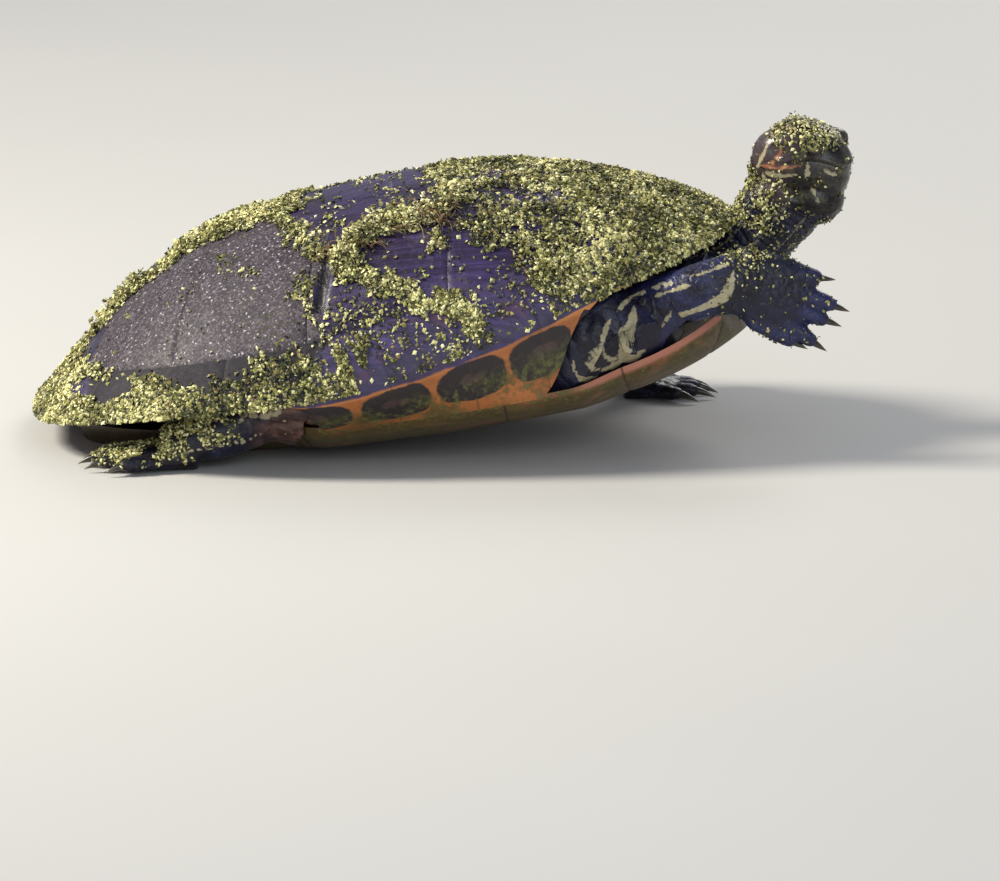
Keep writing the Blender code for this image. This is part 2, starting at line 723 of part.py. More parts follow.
def make_legs(surface):
    """Right foreleg stretched forward in the air, left foreleg propping the chest, hind legs laid back."""
    fore_right = make_leg(
        "foreleg_right",
        shifted(((0.048, -0.030, 0.046), (0.090, -0.054, 0.053), (0.118, -0.0625, 0.065), (0.144, -0.064, 0.071))),
        ((0.012, 0.014), (0.0110, 0.0130), (0.0100, 0.0108), (0.0075, 0.0145)),
        (-0.4, 0, 1),
        RAISED_HAND | {
            "wrist": (0.142 + SHELL_MIDDLE_X, -0.0640, 0.0690),
            "forward": (0.90, 0.02, -0.42),
            "normal": (0.02, -1, 0.12),
            "toes": (
                (0.006, -0.0125, -3.5, 0.0161),
                (0.013, -0.0075, -10, 0.0165),
                (0.014, -0.0015, 2, 0.0164),
                (0.014, 0.0045, 3, 0.0168),
                (0.009, 0.0095, 15, 0.0125),
            ),
        },
        surface,
    )
    fore_left = make_leg(
        "foreleg_left",
        shifted(((0.050, 0.030, 0.047), (0.088, 0.060, 0.052), (0.102, 0.0800, 0.0370), (0.100, 0.0730, 0.009))),
        ((0.012, 0.013), (0.011, 0.011), (0.0105, 0.011), (0.0115, 0.0100)),
        (1, 0, 0.2),
        FOREFOOT | {
            "wrist": (0.098 + SHELL_MIDDLE_X, 0.0730, 0.0042),
            "forward": (0.98, 0.06, -0.03),
            "normal": (0, 0, 1),
            "toes": fan(0.017, 0.0135, (-30, -14, 0, 14, 30), (0.006, 0.0095, 0.0100, 0.0095, 0.006)),
        },
        surface,
    )
    hinds = []
    for tag, side in (("right", -1), ("left", 1)):
        hinds.append(make_leg(
            f"hindleg_{tag}",
            shifted([(x, side * y, z) for x, y, z in HIND_PATH]),
            ((0.013, 0.011), (0.0125, 0.0120), (0.0125, 0.0110), (0.0130, 0.0080)),
            (0, 0, 1),
            HINDFOOT | {
                "wrist": (-0.077 + SHELL_MIDDLE_X, side * 0.0730, 0.0048),
                "forward": (-1, side * 0.04, -0.03),
                "normal": (0, 0, 1),
                "toes": fan(0.024, 0.0150, (-24, -12, 0, 12, 24), (0.006, 0.009, 0.010, 0.009, 0.005)),
            },
            surface,
        ))
    return [fore_right, fore_left, *hinds]


# ---------------------------------------------------------------- the whole animal

def main():
    for thing in list(bpy.data.objects):
        bpy.data.objects.remove(thing)
    carapace = material("dark horn", (0.045, 0.040, 0.060), 0.35)
    margin = material("margin horn", (0.060, 0.042, 0.055), 0.35)
    plastron = material("orange horn", (0.42, 0.16, 0.05), 0.4)
    skin = material("dark skin", (0.040, 0.042, 0.038), 0.55)
    eye_surface = material("eye", (0.25, 0.22, 0.05), 0.08)

    make_carapace(carapace, margin)
    make_plastron(plastron)
    placed = list(bpy.context.collection.objects)
    trunk = make_trunk(skin)
    placed.append(trunk)

    legs = make_legs(skin)
    neck = make_neck(skin)
    head = make_head(skin)
    tail = make_tail(skin)
    for piece in legs + [tail]:
        cut_at_floor(piece)
    sockets = [make_eye(side, EYE_RADIUS + GAP, f"socket_{side}", eye_surface) for side in (1, -1)]
    join_solids(head, sockets, "DIFFERENCE")
    remove(sockets)
    make_eye(1, EYE_RADIUS, "eye_left", eye_surface)
    make_eye(-1, EYE_RADIUS, "eye_right", eye_surface)
    for piece in [head, neck, *legs, tail]:
        trim_to_neighbours(piece, placed)
        placed.append(piece)


main()
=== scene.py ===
import math

import bmesh
import bpy
import numpy as np
from mathutils import Matrix, Vector, noise
from mathutils.kdtree import KDTree


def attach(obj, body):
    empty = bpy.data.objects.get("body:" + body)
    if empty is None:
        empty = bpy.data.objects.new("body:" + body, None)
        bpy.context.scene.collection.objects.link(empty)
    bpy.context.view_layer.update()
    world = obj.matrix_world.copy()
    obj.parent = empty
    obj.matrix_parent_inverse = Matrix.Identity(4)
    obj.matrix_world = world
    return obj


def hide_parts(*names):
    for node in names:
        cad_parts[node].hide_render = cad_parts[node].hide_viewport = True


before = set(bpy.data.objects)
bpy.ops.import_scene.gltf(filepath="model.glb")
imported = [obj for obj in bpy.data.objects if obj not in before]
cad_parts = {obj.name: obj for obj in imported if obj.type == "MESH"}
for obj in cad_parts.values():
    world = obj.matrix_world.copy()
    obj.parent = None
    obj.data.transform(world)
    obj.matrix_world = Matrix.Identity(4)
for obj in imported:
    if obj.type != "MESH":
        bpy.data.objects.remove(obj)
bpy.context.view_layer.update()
bpy.ops.object.select_all(action="DESELECT")


# ---------------------------------------------------------------- the carapace: horn plates on a bony dome
# Thin horn plates meet edge to edge over the bone. Five run down the back, four down each side, and each keeps
# the growth lines of its years. The dome is drawn level, in shell lengths, then pitched nose up with the body.

SHELL_LENGTH = 0.28
SHELL_PITCH = math.radians(15.2)
SHELL_MIDDLE = np.array((-0.02331, 0, 0.0482))
MM = 0.001 / SHELL_LENGTH
HUB_X = -0.03
FRONT_REACH, REAR_REACH, HALF_WIDTH, REAR_SWELL = 0.53, 0.47, 0.355, 0.07
RIM_FULLNESS = (2.25, 2.6)
DOME_HEIGHT, DOME_POWERS, DOME_STEEPNESS = 0.178, (2.2, 3.0, 2.1), (0.9, 1.4, 0.62)
RIM_DIP, RIM_LOW_X, RIM_DIP_SPREADS = 0.046, -0.04, (0.33, 0.24)
VERTEBRAL_SEAMS_X = (0.235, 0.06, -0.12, -0.29)
VERTEBRAL_HALF_WIDTHS = (0.078, 0.098)
VERTEBRAL_ENDS = (math.radians(19), math.radians(162))
COSTAL_RIM_SHARES = (0.375, 0.542, 0.708)
NUCHAL_HALF_ARC, MARGINALS_A_SIDE, MARGINAL_LEAN = 0.045, 12, 0.034


def mix(a, b, share):
    return a + (b - a) * share


def blend(low, high, value):
    """0 below low, 1 above high, and a smooth step between."""
    step = np.clip((value - low) / (high - low), 0, 1)
    return step * step * (3 - 2 * step)


def bump(value, middle, spread):
    """1 at the middle, falling away to 0 on both sides of it."""
    return np.exp(-(((value - middle) / spread) ** 2))


def unit(vectors):
    return vectors / np.linalg.norm(vectors, axis=-1, keepdims=True)


def rim_radius(turn):
    """Plan distance from the dome's hub to the rim, at an angle from straight ahead."""
    ahead = np.cos(turn)
    reach = np.where(ahead > 0, FRONT_REACH, REAR_REACH)
    fullness = np.where(ahead > 0, *RIM_FULLNESS)
    across = np.abs(np.sin(turn)) / HALF_WIDTH
    radius = ((np.abs(ahead) / reach) ** fullness + across**fullness) ** (-1 / fullness)
    return radius * (1 - REAR_SWELL * ahead * np.sin(turn) ** 2)


def rim_height(x):
    return -RIM_DIP * bump(x, RIM_LOW_X, np.where(x > RIM_LOW_X, *RIM_DIP_SPREADS))


def dome(turn, out):
    """Points of the dome at a share of the way from the hub to the rim."""
    radius, ahead, side = rim_radius(turn), np.cos(turn), np.sin(turn) ** 2
    power, steepness = (
        mix(np.where(ahead > 0, front, rear), flank, side) for front, rear, flank in (DOME_POWERS, DOME_STEEPNESS)
    )
    low = rim_height(HUB_X + radius * ahead)
    height = low + (DOME_HEIGHT - low) * np.maximum(1 - out**power, 0) ** steepness
    return np.stack([HUB_X + out * radius * ahead, out * radius * np.sin(turn), height], -1)


def polar(plan):
    """Angle from straight ahead and share of the way to the rim, of points seen from above."""
    turn = np.arctan2(plan[..., 1], plan[..., 0] - HUB_X)
    return turn, np.hypot(plan[..., 0] - HUB_X, plan[..., 1]) / rim_radius(turn)


def to_world(points):
    """From the level shell, in shell lengths, to metres in the pitched body."""
    x, y, z = np.moveaxis(points, -1, 0)
    c, s = math.cos(SHELL_PITCH), math.sin(SHELL_PITCH)
    return np.stack([x * c - z * s, y, x * s + z * c], -1) * SHELL_LENGTH + SHELL_MIDDLE


def under_dome(turn, out, depth):
    """Points at a depth below the dome, square to it."""
    step = 0.004
    near = np.clip(out, 0.02, 0.985)
    across = dome(turn + step, near) - dome(turn - step, near)
    outward = dome(turn, near + step) - dome(turn, near - step)
    normal = np.cross(outward, across)
    return dome(turn, out) - unit(normal) * depth


def seam_out(turn):
    """How far out the back's plates end and the rim's begin."""
    return 0.83 + 0.07 * np.sin(turn) ** 2


RIM_SAMPLES = 720
RIM_ANGLES = np.linspace(0, math.pi, RIM_SAMPLES)
RIM_POINTS = rim_radius(RIM_ANGLES)[:, None] * np.stack([np.cos(RIM_ANGLES), np.sin(RIM_ANGLES)], -1)
RIM_RUNS = np.concatenate([[0], np.cumsum(np.linalg.norm(np.diff(RIM_POINTS, axis=0), axis=1))])


def rim_turn(share):
    return np.interp(mix(NUCHAL_HALF_ARC, RIM_RUNS[-1], share), RIM_RUNS, RIM_ANGLES)


def marginal_turn(number):
    share = number / MARGINALS_A_SIDE
    return rim_turn(share - MARGINAL_LEAN * math.sin(math.pi * share))


def seam_point(turn):
    radius = seam_out(turn) * rim_radius(turn)
    return np.stack([HUB_X + radius * np.cos(turn), radius * np.sin(turn)], -1)


def vertebral_edge(number, side):
    """Corners of a vertebral's side edge, from front to back."""
    narrow, wide = VERTEBRAL_HALF_WIDTHS
    if number == 1:
        start, end = seam_point(side * VERTEBRAL_ENDS[0]), np.array((VERTEBRAL_SEAMS_X[0], side * narrow))
    elif number == 5:
        start, end = np.array((VERTEBRAL_SEAMS_X[3], side * narrow)), seam_point(side * VERTEBRAL_ENDS[1])
    else:
        front, back = VERTEBRAL_SEAMS_X[number - 2 : number]
        start, end = np.array((front, side * narrow)), np.array((back, side * narrow))
        return np.array([start, ((front + back) / 2, side * wide), end])
    return np.array([start, (start + end) / 2, end])


def on_edge(corners, t):
    """Plan points along an edge of three corners, half of the way for each run."""
    run = np.minimum((t * 2).astype(int), 1)
    return corners[run] + (corners[run + 1] - corners[run]) * (t * 2 - run)[..., None]


def vertebral_plan(number, t, w):
    plan = mix(on_edge(vertebral_edge(number, 1), t), on_edge(vertebral_edge(number, -1), t), w[..., None])
    if number == 1:
        arc = seam_point(VERTEBRAL_ENDS[0] * (1 - 2 * w))
        return mix(arc, plan, np.clip(t * 4, 0, 1)[..., None])
    if number == 5:
        arc = seam_point(math.pi + (VERTEBRAL_ENDS[1] - math.pi) * (1 - 2 * w))
        return mix(arc, plan, np.clip((1 - t) * 4, 0, 1)[..., None])
    return plan


def costal_plan(number, side, t, w):
    seams = [VERTEBRAL_ENDS[0], *(rim_turn(share) for share in COSTAL_RIM_SHARES), VERTEBRAL_ENDS[1]]
    own, after = vertebral_edge(number, side), vertebral_edge(number + 1, side)
    corners = [own[1], own[2], after[1]]
    if number == 1:
        corners = [own[0], own[2], after[1]]
    if number == 4:
        corners = [own[1], own[2], after[2]]
    outer = seam_point(side * mix(seams[number - 1], seams[number], t))
    return mix(on_edge(np.array(corners), t), outer, w[..., None])


def edge_distance(points):
    """Distance in millimetres of each point of a grid from the grid's nearest edge."""
    rows = np.linalg.norm(np.diff(points, axis=0), axis=-1)
    columns = np.linalg.norm(np.diff(points, axis=1), axis=-1)
    down = np.concatenate([np.zeros((1, points.shape[1])), np.cumsum(rows, axis=0)])
    along = np.concatenate([np.zeros((points.shape[0], 1)), np.cumsum(columns, axis=1)], axis=1)
    nearest = np.minimum(np.minimum(down, down[-1:] - down), np.minimum(along, along[:, -1:] - along))
    return nearest / MM


def raised(points, height, up):
    """A grid of points moved out along its own normals. Up is any vector roughly along them."""
    across = np.gradient(points, axis=1)
    down = np.gradient(points, axis=0)
    normal = np.cross(across, down)
    normal /= np.maximum(np.linalg.norm(normal, axis=-1, keepdims=True), 1e-12)
    normal *= np.sign((normal * up).sum(-1).mean()) or 1
    return points + normal * height[..., None]


def lumps(points, scale, octaves=3):
    """Smooth noise at each point, from -1 to 1."""
    flat = points.reshape(-1, 3) * scale
    values = [noise.fractal(Vector(point), 0.6, 2.0, octaves) for point in flat.tolist()]
    return np.array(values).reshape(points.shape[:-1])


def growth_rings(t, w, oldest):
    """0 at a plate's oldest spot and 1 along its edges, in nested outlines of the plate's own shape."""
    along, across = (np.abs(v - spot) / np.where(v > spot, 1 - spot, spot) for v, spot in zip((t, w), oldest))
    return (along**6 + across**6) ** (1 / 6)


SHARP_ANGLE = math.radians(50)


def add_facts(mesh, facts):
    """Keeps a number at each point of a mesh under each name, for the material to read."""
    for key, values in facts.items():
        numbers = np.ravel(values).astype(np.float32)
        mesh.attributes.new(key, "FLOAT", "POINT").data.foreach_set("value", numbers)


def new_piece(name, points, faces, facts):
    """A smooth-shaded mesh object in world space, with its facts."""
    mesh = bpy.data.meshes.new(name)
    mesh.from_pydata(points.tolist(), [], faces)
    mesh.update()
    add_facts(mesh, facts)
    tidy = bmesh.new()
    tidy.from_mesh(mesh)
    bmesh.ops.recalc_face_normals(tidy, faces=tidy.faces)
    tidy.to_mesh(mesh)
    tidy.free()
    mesh.shade_smooth()
    mesh.set_sharp_from_angle(angle=SHARP_ANGLE)
    piece = bpy.data.objects.new(name, mesh)
    bpy.context.collection.objects.link(piece)
    return piece


def quads_of(index):
    """The four-sided faces of a grid of point numbers."""
    corners = (index[:-1, :-1], index[:-1, 1:], index[1:, 1:], index[1:, :-1])
    return np.stack(corners, -1).reshape(-1, 4)


def slab_piece(name, outer, inner, facts):
    """A closed plate between two grids of points, given in the level shell."""
    rows, columns = outer.shape[:2]
    index = np.arange(rows * columns).reshape(rows, columns)
    edge = np.concatenate([index[0], index[1:, -1], index[-1, -2::-1], index[-2:0:-1, 0]])
    after = np.roll(edge, -1)
    walls = np.stack([after, edge, edge + index.size, after + index.size], -1)
    faces = np.concatenate([quads_of(index), quads_of(index[:, ::-1] + index.size), walls]).tolist()
    points = to_world(np.concatenate([outer.reshape(-1, 3), inner.reshape(-1, 3)]))
    return new_piece(name, points, faces, {key: np.tile(np.ravel(values), 2) for key, values in facts.items()})


def grid_shares(rows, columns):
    """How far down and how far across each point of a grid is, from 0 to 1."""
    return np.meshgrid(np.linspace(0, 1, rows), np.linspace(0, 1, columns), indexing="ij")


def dryness(points):
    """1 where the horn is dry and dusty: a wide patch low on the right rear, and a small one on the left."""
    x, y, _ = np.moveaxis(points, -1, 0)
    ragged = 0.22 * lumps(points, 11)
    right = np.hypot((x + 0.235) / 0.19, (y + 0.2) / 0.185) + ragged
    left = np.hypot((x + 0.3) / 0.13, (y - 0.17) / 0.13) + ragged
    return np.maximum(blend(1.12, 0.84, right), 0.8 * blend(1.1, 0.7, left))


def line_distance(plan, line):
    """Distance of plan points from the nearest run of a broken line."""
    found = np.full(plan.shape[:-1], 9.0)
    for start, end in zip(np.array(line), np.array(line)[1:]):
        run = end - start
        share = np.clip(((plan - start) @ run) / (run @ run), 0, 1)
        found = np.minimum(found, np.linalg.norm(plan - start - share[..., None] * run, axis=-1))
    return found


CLEFT = ((-0.048, -0.237), (-0.057, -0.262), (-0.067, -0.287))
CLEFT_REACH, CLEFT_DEPTH = (0.0095, 0.0045), 1.5 * MM
SEAM_DEPTH, SEAM_WIDTH, PLATE_THICKNESS = 0.34 * MM, 0.6, 2.2 * MM


def dome_plate(name, shares, plan, oldest):
    """A back or side plate: sunk at its seams, with low growth ridges, on the dome."""
    turn, out = polar(plan)
    base = dome(turn, out)
    distance = edge_distance(base)
    cleft = blend(*CLEFT_REACH, line_distance(base[..., :2], CLEFT))
    growth = growth_rings(*shares, oldest)
    ridges = np.sin(growth * 16 + 5 * lumps(base, 9)) * blend(0.25, 0.9, growth)
    height = -SEAM_DEPTH * bump(distance, 0, SEAM_WIDTH) - 0.25 * MM * np.exp(-distance / 3)
    height += 0.06 * MM * ridges + 0.3 * MM * lumps(base, 16) - CLEFT_DEPTH * cleft
    outer = raised(base, height, np.array((0, 0, 1)))
    inner = under_dome(turn, out, PLATE_THICKNESS)
    facts = {"growth": growth, "seam": distance, "dry": dryness(base), "cleft": cleft}
    return slab_piece(name, outer, inner, facts)


class Wire:
    """A shader socket. Operators on it add Math nodes, and node() adds any other kind."""

    def __init__(self, socket):
        self.socket = socket

    def node(self, kind, settings=(), inputs=(), output=0):
        made = self.socket.id_data.nodes.new(kind)
        for key, value in dict(settings).items():
            setattr(made, key, value)
        for key, value in dict(inputs).items():
            if isinstance(value, Wire):
                self.socket.id_data.links.new(value.socket, made.inputs[key])
            else:
                made.inputs[key].default_value = value
        return Wire(made.outputs[output])

    def math(self, operation, *values):
        return self.node("ShaderNodeMath", {"operation": operation}, enumerate(values))

    def __add__(self, other):
        return self.math("ADD", self, other)

    def __sub__(self, other):
        return self.math("SUBTRACT", self, other)

    def __rsub__(self, other):
        return self.math("SUBTRACT", other, self)

    def __mul__(self, other):
        return self.math("MULTIPLY", self, other)

    def __truediv__(self, other):
        return self.math("DIVIDE", self, other)

    def __pow__(self, other):
        return self.math("POWER", self, other)

    __radd__, __rmul__ = __add__, __mul__

    def step(self, low, high):
        """0 below low, 1 above high, and a smooth step between. Low may be the larger."""
        inputs = {0: self, 1: low, 2: high, 3: 0.0, 4: 1.0}
        return self.node("ShaderNodeMapRange", {"interpolation_type": "SMOOTHSTEP"}, inputs)

    def grain(self, scale, detail=4.0, roughness=0.55):
        """Noise from 0 to 1 at a scale in lumps to the metre."""
        inputs = {"Vector": self, "Scale": scale, "Detail": detail, "Roughness": roughness}
        return self.node("ShaderNodeTexNoise", {}, inputs)

    def streaks(self, turn, scale, detail, roughness):
        """Noise turned and stretched, for marks that run one way."""
        mapped = self.node("ShaderNodeMapping", {}, {"Vector": self, "Rotation": turn, "Scale": scale})
        return mapped.grain(1.0, detail, roughness)

    def ripples(self):
        """Even waves from 0 to 1 as the value grows."""
        return self.math("SINE", self) * 0.5 + 0.5

    def cells(self, scale, output=0):
        return self.node("ShaderNodeTexVoronoi", {}, {"Vector": self, "Scale": scale}, output)

    def pepper(self, scale):
        """A random value, the same all over each of many small cells."""
        return self.cells(scale, output=1) * 1.0

    def attributes(self, *names):
        return [self.node("ShaderNodeAttribute", {"attribute_name": name}, output=2) for name in names]

    def paint(self, low, high):
        """A colour between two, by this value. Either may be a wire."""
        low, high = ((*c, 1) if isinstance(c, tuple) else c for c in (low, high))
        settings = {"data_type": "RGBA", "clamp_factor": True}
        return self.node("ShaderNodeMix", settings, {0: self, 6: low, 7: high}, output=2)


def layered(colour, *coats):
    """A colour with coats over it, each a share and a colour."""
    for share, coat in coats:
        colour = share.paint(colour, coat)
    return colour


def new_material(name, constants):
    """A material, its Principled shader, and a wire from the Object coordinates."""
    material = bpy.data.materials.new(name)
    material.use_nodes = True
    tree = material.node_tree
    shader = tree.nodes["Principled BSDF"]
    for key, value in constants.items():
        shader.inputs[key].default_value = value
    place = Wire(tree.nodes.new("ShaderNodeTexCoord").outputs["Object"])
    return material, shader, place


def feed(shader, **wires):
    """Links wires to the shader's sockets, named with underscores for spaces."""
    for key, wire in wires.items():
        shader.id_data.links.new(wire.socket, shader.inputs[key.replace("_", " ")])


def relief(heights, distance, strength):
    return heights.node("ShaderNodeBump", {}, {"Strength": strength, "Distance": distance, "Height": heights})


horn, horn_shader, place = new_material("carapace_horn", {"Coat Roughness": 0.22, "Specular IOR Level": 0.55})
growth, seam, dry, cleft = place.attributes("growth", "seam", "dry", "cleft")
cloud, broad = place.grain(24, 5), place.grain(11, 3)
fine, pepper = place.grain(480, 5, 0.65), place.pepper(1400)
streaks = place.streaks((0.0, 0.42, 0.3), (28, 700, 260), 6, 0.65)
scratch = place.streaks((0.0, 0.55, -0.75), (45, 900, 900), 4, 0.6)
lines = (growth * 70 + cloud * 42).ripples()
dusty = (dry + (fine - 0.5) * 0.9 + (cloud - 0.5) * 0.7).step(0.3, 0.62)
# The violet-blue streaks over the dark horn are painted sheen, the sky's reflection on wet horn, following the
# horn's own streaks.
purple_and_sheen = layered(
    broad.step(0.35, 0.65).paint((0.012, 0.006, 0.019), (0.022, 0.012, 0.056)),
    (streaks.step(0.34, 0.8) * cloud.step(0.25, 0.7) * 0.95, (0.078, 0.052, 0.212)),
    (cloud.step(0.58, 0.76) * 0.5, (0.096, 0.056, 0.14)),
    (lines.step(0.92, 1.0) * streaks.step(0.4, 0.6) * 0.16, (0.15, 0.12, 0.16)),
)
grey = layered(
    cloud.step(0.3, 0.7).paint((0.012, 0.007, 0.014), (0.03, 0.021, 0.035)),
    (pepper.step(0.4, 0.9) * 0.85, (0.155, 0.122, 0.148)),
    # The palest specks are painted glints on the dusty horn; the greyer pepper is its grit.
    (pepper.step(0.84, 0.9) * fine.step(0.4, 0.52) * 0.9, (0.62, 0.56, 0.58)),
    (pepper.step(0.22, 0.1) * 0.8, (0.006, 0.004, 0.006)),
    (scratch.step(0.56, 0.7) * 0.45, (0.18, 0.15, 0.175)),
)
algae = cloud.step(0.56, 0.7) * fine.step(0.48, 0.62) * 0.4
colour = layered(
    dusty.paint(purple_and_sheen, grey),
    (seam.step(1.1, 0.1) * fine.step(0.35, 0.6) * cloud.step(0.35, 0.6) * 0.8, (0.01, 0.009, 0.01)),
    # The cleft is painted nearly black: painted shadow in the crack between the plates.
    (cleft * 0.95, (0.004, 0.004, 0.008)),
    (algae, (0.1, 0.1, 0.03)),
    # Pale specks: painted glints of water on the wet horn.
    (pepper.step(0.9, 0.96) * fine.step(0.5, 0.6) * 0.65, (0.55, 0.53, 0.48)),
)
feed(
    horn_shader,
    Base_Color=colour,
    Roughness=fine * 0.26 + cloud * 0.2 + dusty * 0.22 + algae * 0.3 + 0.14,
    Normal=relief(lines * 0.16 + streaks * 0.7 + fine * 0.7 + dusty * pepper * 1.6, 0.00032, 0.8),
)

VERTEBRAL_SHARES, COSTAL_SHARES = grid_shares(40, 46), grid_shares(52, 52)
VERTEBRAL_OLDEST, COSTAL_OLDEST = (0.62, 0.5), (0.66, 0.24)
SIDES = ((1, "left"), (-1, "right"))
carapace = []
for number in range(1, 6):
    node = f"vertebral_{number}"
    plan = vertebral_plan(number, *VERTEBRAL_SHARES)
    carapace.append((node, dome_plate(node + "_horn", VERTEBRAL_SHARES, plan, VERTEBRAL_OLDEST)))
for side, tag in SIDES:
    for number in range(1, 5):
        node = f"costal_{number}_{tag}"
        plan = costal_plan(number, side, *COSTAL_SHARES)
        carapace.append((node, dome_plate(node + "_horn", COSTAL_SHARES, plan, COSTAL_OLDEST)))
for node, plate in carapace:
    plate.data.materials.append(horn)
    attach(plate, "root")
    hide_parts(node)


# ---------------------------------------------------------------- the plastron: twelve flat plates underneath
# The belly shield is horn over bone, flat along the middle with its edges turned up. Six pairs of plates meet
# on the midline, and the back pairs rest on the ground.

LOWEST_X, LOWEST_Z = 0.28, -0.179
KEEL_RISE_AHEAD, KEEL_RISE_BEHIND = (0.926, 2.09), (0.152, 1.45)
PLASTRON_SEAMS_X = (0.495, 0.405, 0.305, 0.13, -0.12, -0.27, -0.425)
PLASTRON_SEAM_BENDS = (-0.045, 0.05, 0.0, 0.01, -0.02, -0.03, -0.02)
PLASTRON_THICKNESS, PLASTRON_EDGE_RISE, PLASTRON_BRIDGE_Y = 0.018, 0.042, 0.296
BRIDGE_FRONT_X, BRIDGE_REAR_X, BRIDGE_LAG = (0.33, 0.25), (-0.175, -0.105), 0.02
BRIDGE_FOOT_Y = 0.298
FRONT_LOBE, REAR_LOBE = (0.245, 0.16, 0.345, 2.6, 0.04), (0.235, 0.1, 0.355, 2.4, 0.02)
BRIDGE_RISE_X, BRIDGE_TURN_X = (0.3, 0.195), (0.34, 0.29)


def lobe(ahead, half_width, start, reach, power, blunt):
    """Half width of one end of the plastron, rounded off beyond its start."""
    return half_width * np.maximum(1 - (np.maximum(ahead - start, 0) / reach) ** power, blunt) ** 0.5


def plastron_half_width(x):
    front, rear = lobe(x, *FRONT_LOBE), lobe(-x, *REAR_LOBE)
    bridge = blend(*BRIDGE_FRONT_X, x + BRIDGE_LAG) * blend(*BRIDGE_REAR_X, x)
    return mix(np.minimum(front, rear), PLASTRON_BRIDGE_Y, bridge)


def floor_under(x):
    """Height of the floor in the level shell."""
    return -(SHELL_MIDDLE[2] / SHELL_LENGTH + x * math.sin(SHELL_PITCH)) / math.cos(SHELL_PITCH)


def plastron_bottom(x, y):
    ahead = x > LOWEST_X
    run = np.abs(x - LOWEST_X)
    rise = [k * run**power for k, power in (KEEL_RISE_AHEAD, KEEL_RISE_BEHIND)]
    edge = np.maximum(np.abs(y) / plastron_half_width(x) - 0.5, 0) / 0.5
    keel = LOWEST_Z + np.where(ahead, rise[0], rise[1])
    return np.maximum(keel + PLASTRON_EDGE_RISE * edge**1.8, floor_under(x))


belly, belly_shader, place = new_material("plastron_horn", {"Specular IOR Level": 0.5})
growth, seam, lip_highlight, rear = place.attributes("growth", "seam", "lip_highlight", "rear")
cloud, fine = place.grain(30, 5), place.grain(500, 4, 0.6)
film = place.streaks((0, 0, 0), (45, 150, 150), 5, 0.6)
lines = (growth * 60 + cloud * 8).ripples()
slime = fine.step(0.4, 0.7).paint((0.04, 0.044, 0.01), (0.125, 0.13, 0.03))
colour = layered(
    cloud.step(0.3, 0.7).paint((0.215, 0.062, 0.024), (0.37, 0.12, 0.048)),
    (lines.step(0.7, 1.0) * 0.25, (0.46, 0.2, 0.11)),
    # A paler pink band along the turned-up front edges: a painted highlight on the lip.
    (lip_highlight.step(0.55, 0.98) * 0.75, (0.55, 0.22, 0.15)),
    ((film * 0.6 + fine * 0.5).step(0.36, 0.56) * lip_highlight.step(0.92, 0.62) * 0.88, slime),
    (seam.step(0.8, 0.1) * 0.6, (0.05, 0.022, 0.014)),
    (fine.step(0.6, 0.72) * 0.4, (0.26, 0.2, 0.06)),
    # The rear lobe is darkened: painted shade under the overhanging rear rim.
    (rear * 0.8, (0.04, 0.024, 0.016)),
)
feed(
    belly_shader,
    Base_Color=colour,
    Roughness=film * 0.4 + fine * 0.2 + 0.12,
    Normal=relief(lines * 0.3 + fine * 0.5 + film * 0.6, 0.0003, 0.6),
)

ROUNDING, SEAM_LAP, HALF_MIDLINE_GAP, BELLY_SEAM_WIDTH = 0.075, 0.0002, 0.0003, 0.9
t, w = grid_shares(30, 34)
edge_share = np.clip((w - 1 + ROUNDING) / ROUNDING, 0, 1)
curl = edge_share**2 * PLASTRON_THICKNESS * 0.38
for number, stem in enumerate(("gular", "humeral", "pectoral", "abdominal", "femoral", "anal")):
    for side, tag in SIDES:
        seams = [PLASTRON_SEAMS_X[n] + PLASTRON_SEAM_BENDS[n] * w * w for n in (number, number + 1)]
        x = mix(seams[0] - SEAM_LAP, seams[1] + SEAM_LAP, t)
        y = side * np.maximum(w * plastron_half_width(x), HALF_MIDLINE_GAP)
        low = np.stack([x, y, plastron_bottom(x, y)], -1)
        top = low + np.array((0, 0, PLASTRON_THICKNESS))
        distance = edge_distance(low)
        inner_edges = np.where(w > 0.6, np.minimum(t, 1 - t) * (seams[0] - seams[1]) / MM, distance)
        low[..., 2] += SEAM_DEPTH * bump(inner_edges, 0, BELLY_SEAM_WIDTH) + curl
        top[..., 2] -= curl * 0.8
        facts = {
            "growth": growth_rings(t, w, (0.55, 0.12)), "seam": inner_edges,
            "lip_highlight": edge_share * blend(0.12, 0.3, x), "rear": blend(-0.28, -0.36, x),
        }
        plate = slab_piece(f"{stem}_{tag}_horn", low, top, facts)
        plate.data.materials.append(belly)
        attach(plate, "root")
        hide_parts(f"{stem}_{tag}")


# ---------------------------------------------------------------- the marginals: the shell's rim
# A small nuchal plate behind the neck and twelve plates a side fold round the edge of the bone. They are dark
# above and orange below, with a dark blotch on each seam, and along the sides they turn down to the bridge.

MARGIN_THICKNESS, SCUTE_THICKNESS = 0.018, 0.009
UPPER_STEPS, LOWER_STEPS, INNER_STEPS, MARGIN_COLUMNS, SOFT_ROWS = 10, 14, 3, 26, 3
UNDERSIDE_SAG, NOTCH_DEPTH = 0.016, 1.3 * MM


def margin_foot(turn):
    """Inner lower edge of the rim: under the dome at the ends, down on the plastron's edge at the sides."""
    ends = under_dome(turn, 0.86, MARGIN_THICKNESS)
    x = HUB_X + rim_radius(turn) * np.cos(turn)
    foot_x = mix(x, ends[..., 0], 0.3)
    foot_z = plastron_bottom(foot_x, PLASTRON_BRIDGE_Y) + PLASTRON_THICKNESS * 0.4
    foot_z = mix(dome(turn, np.ones_like(turn))[..., 2] - 0.012, foot_z, blend(*BRIDGE_RISE_X, x))
    bridge = np.stack([foot_x, np.sign(np.sin(turn)) * BRIDGE_FOOT_Y, foot_z], -1)
    share = blend(*BRIDGE_TURN_X, x) * blend(*BRIDGE_REAR_X, x)
    return mix(ends, bridge, share[..., None])


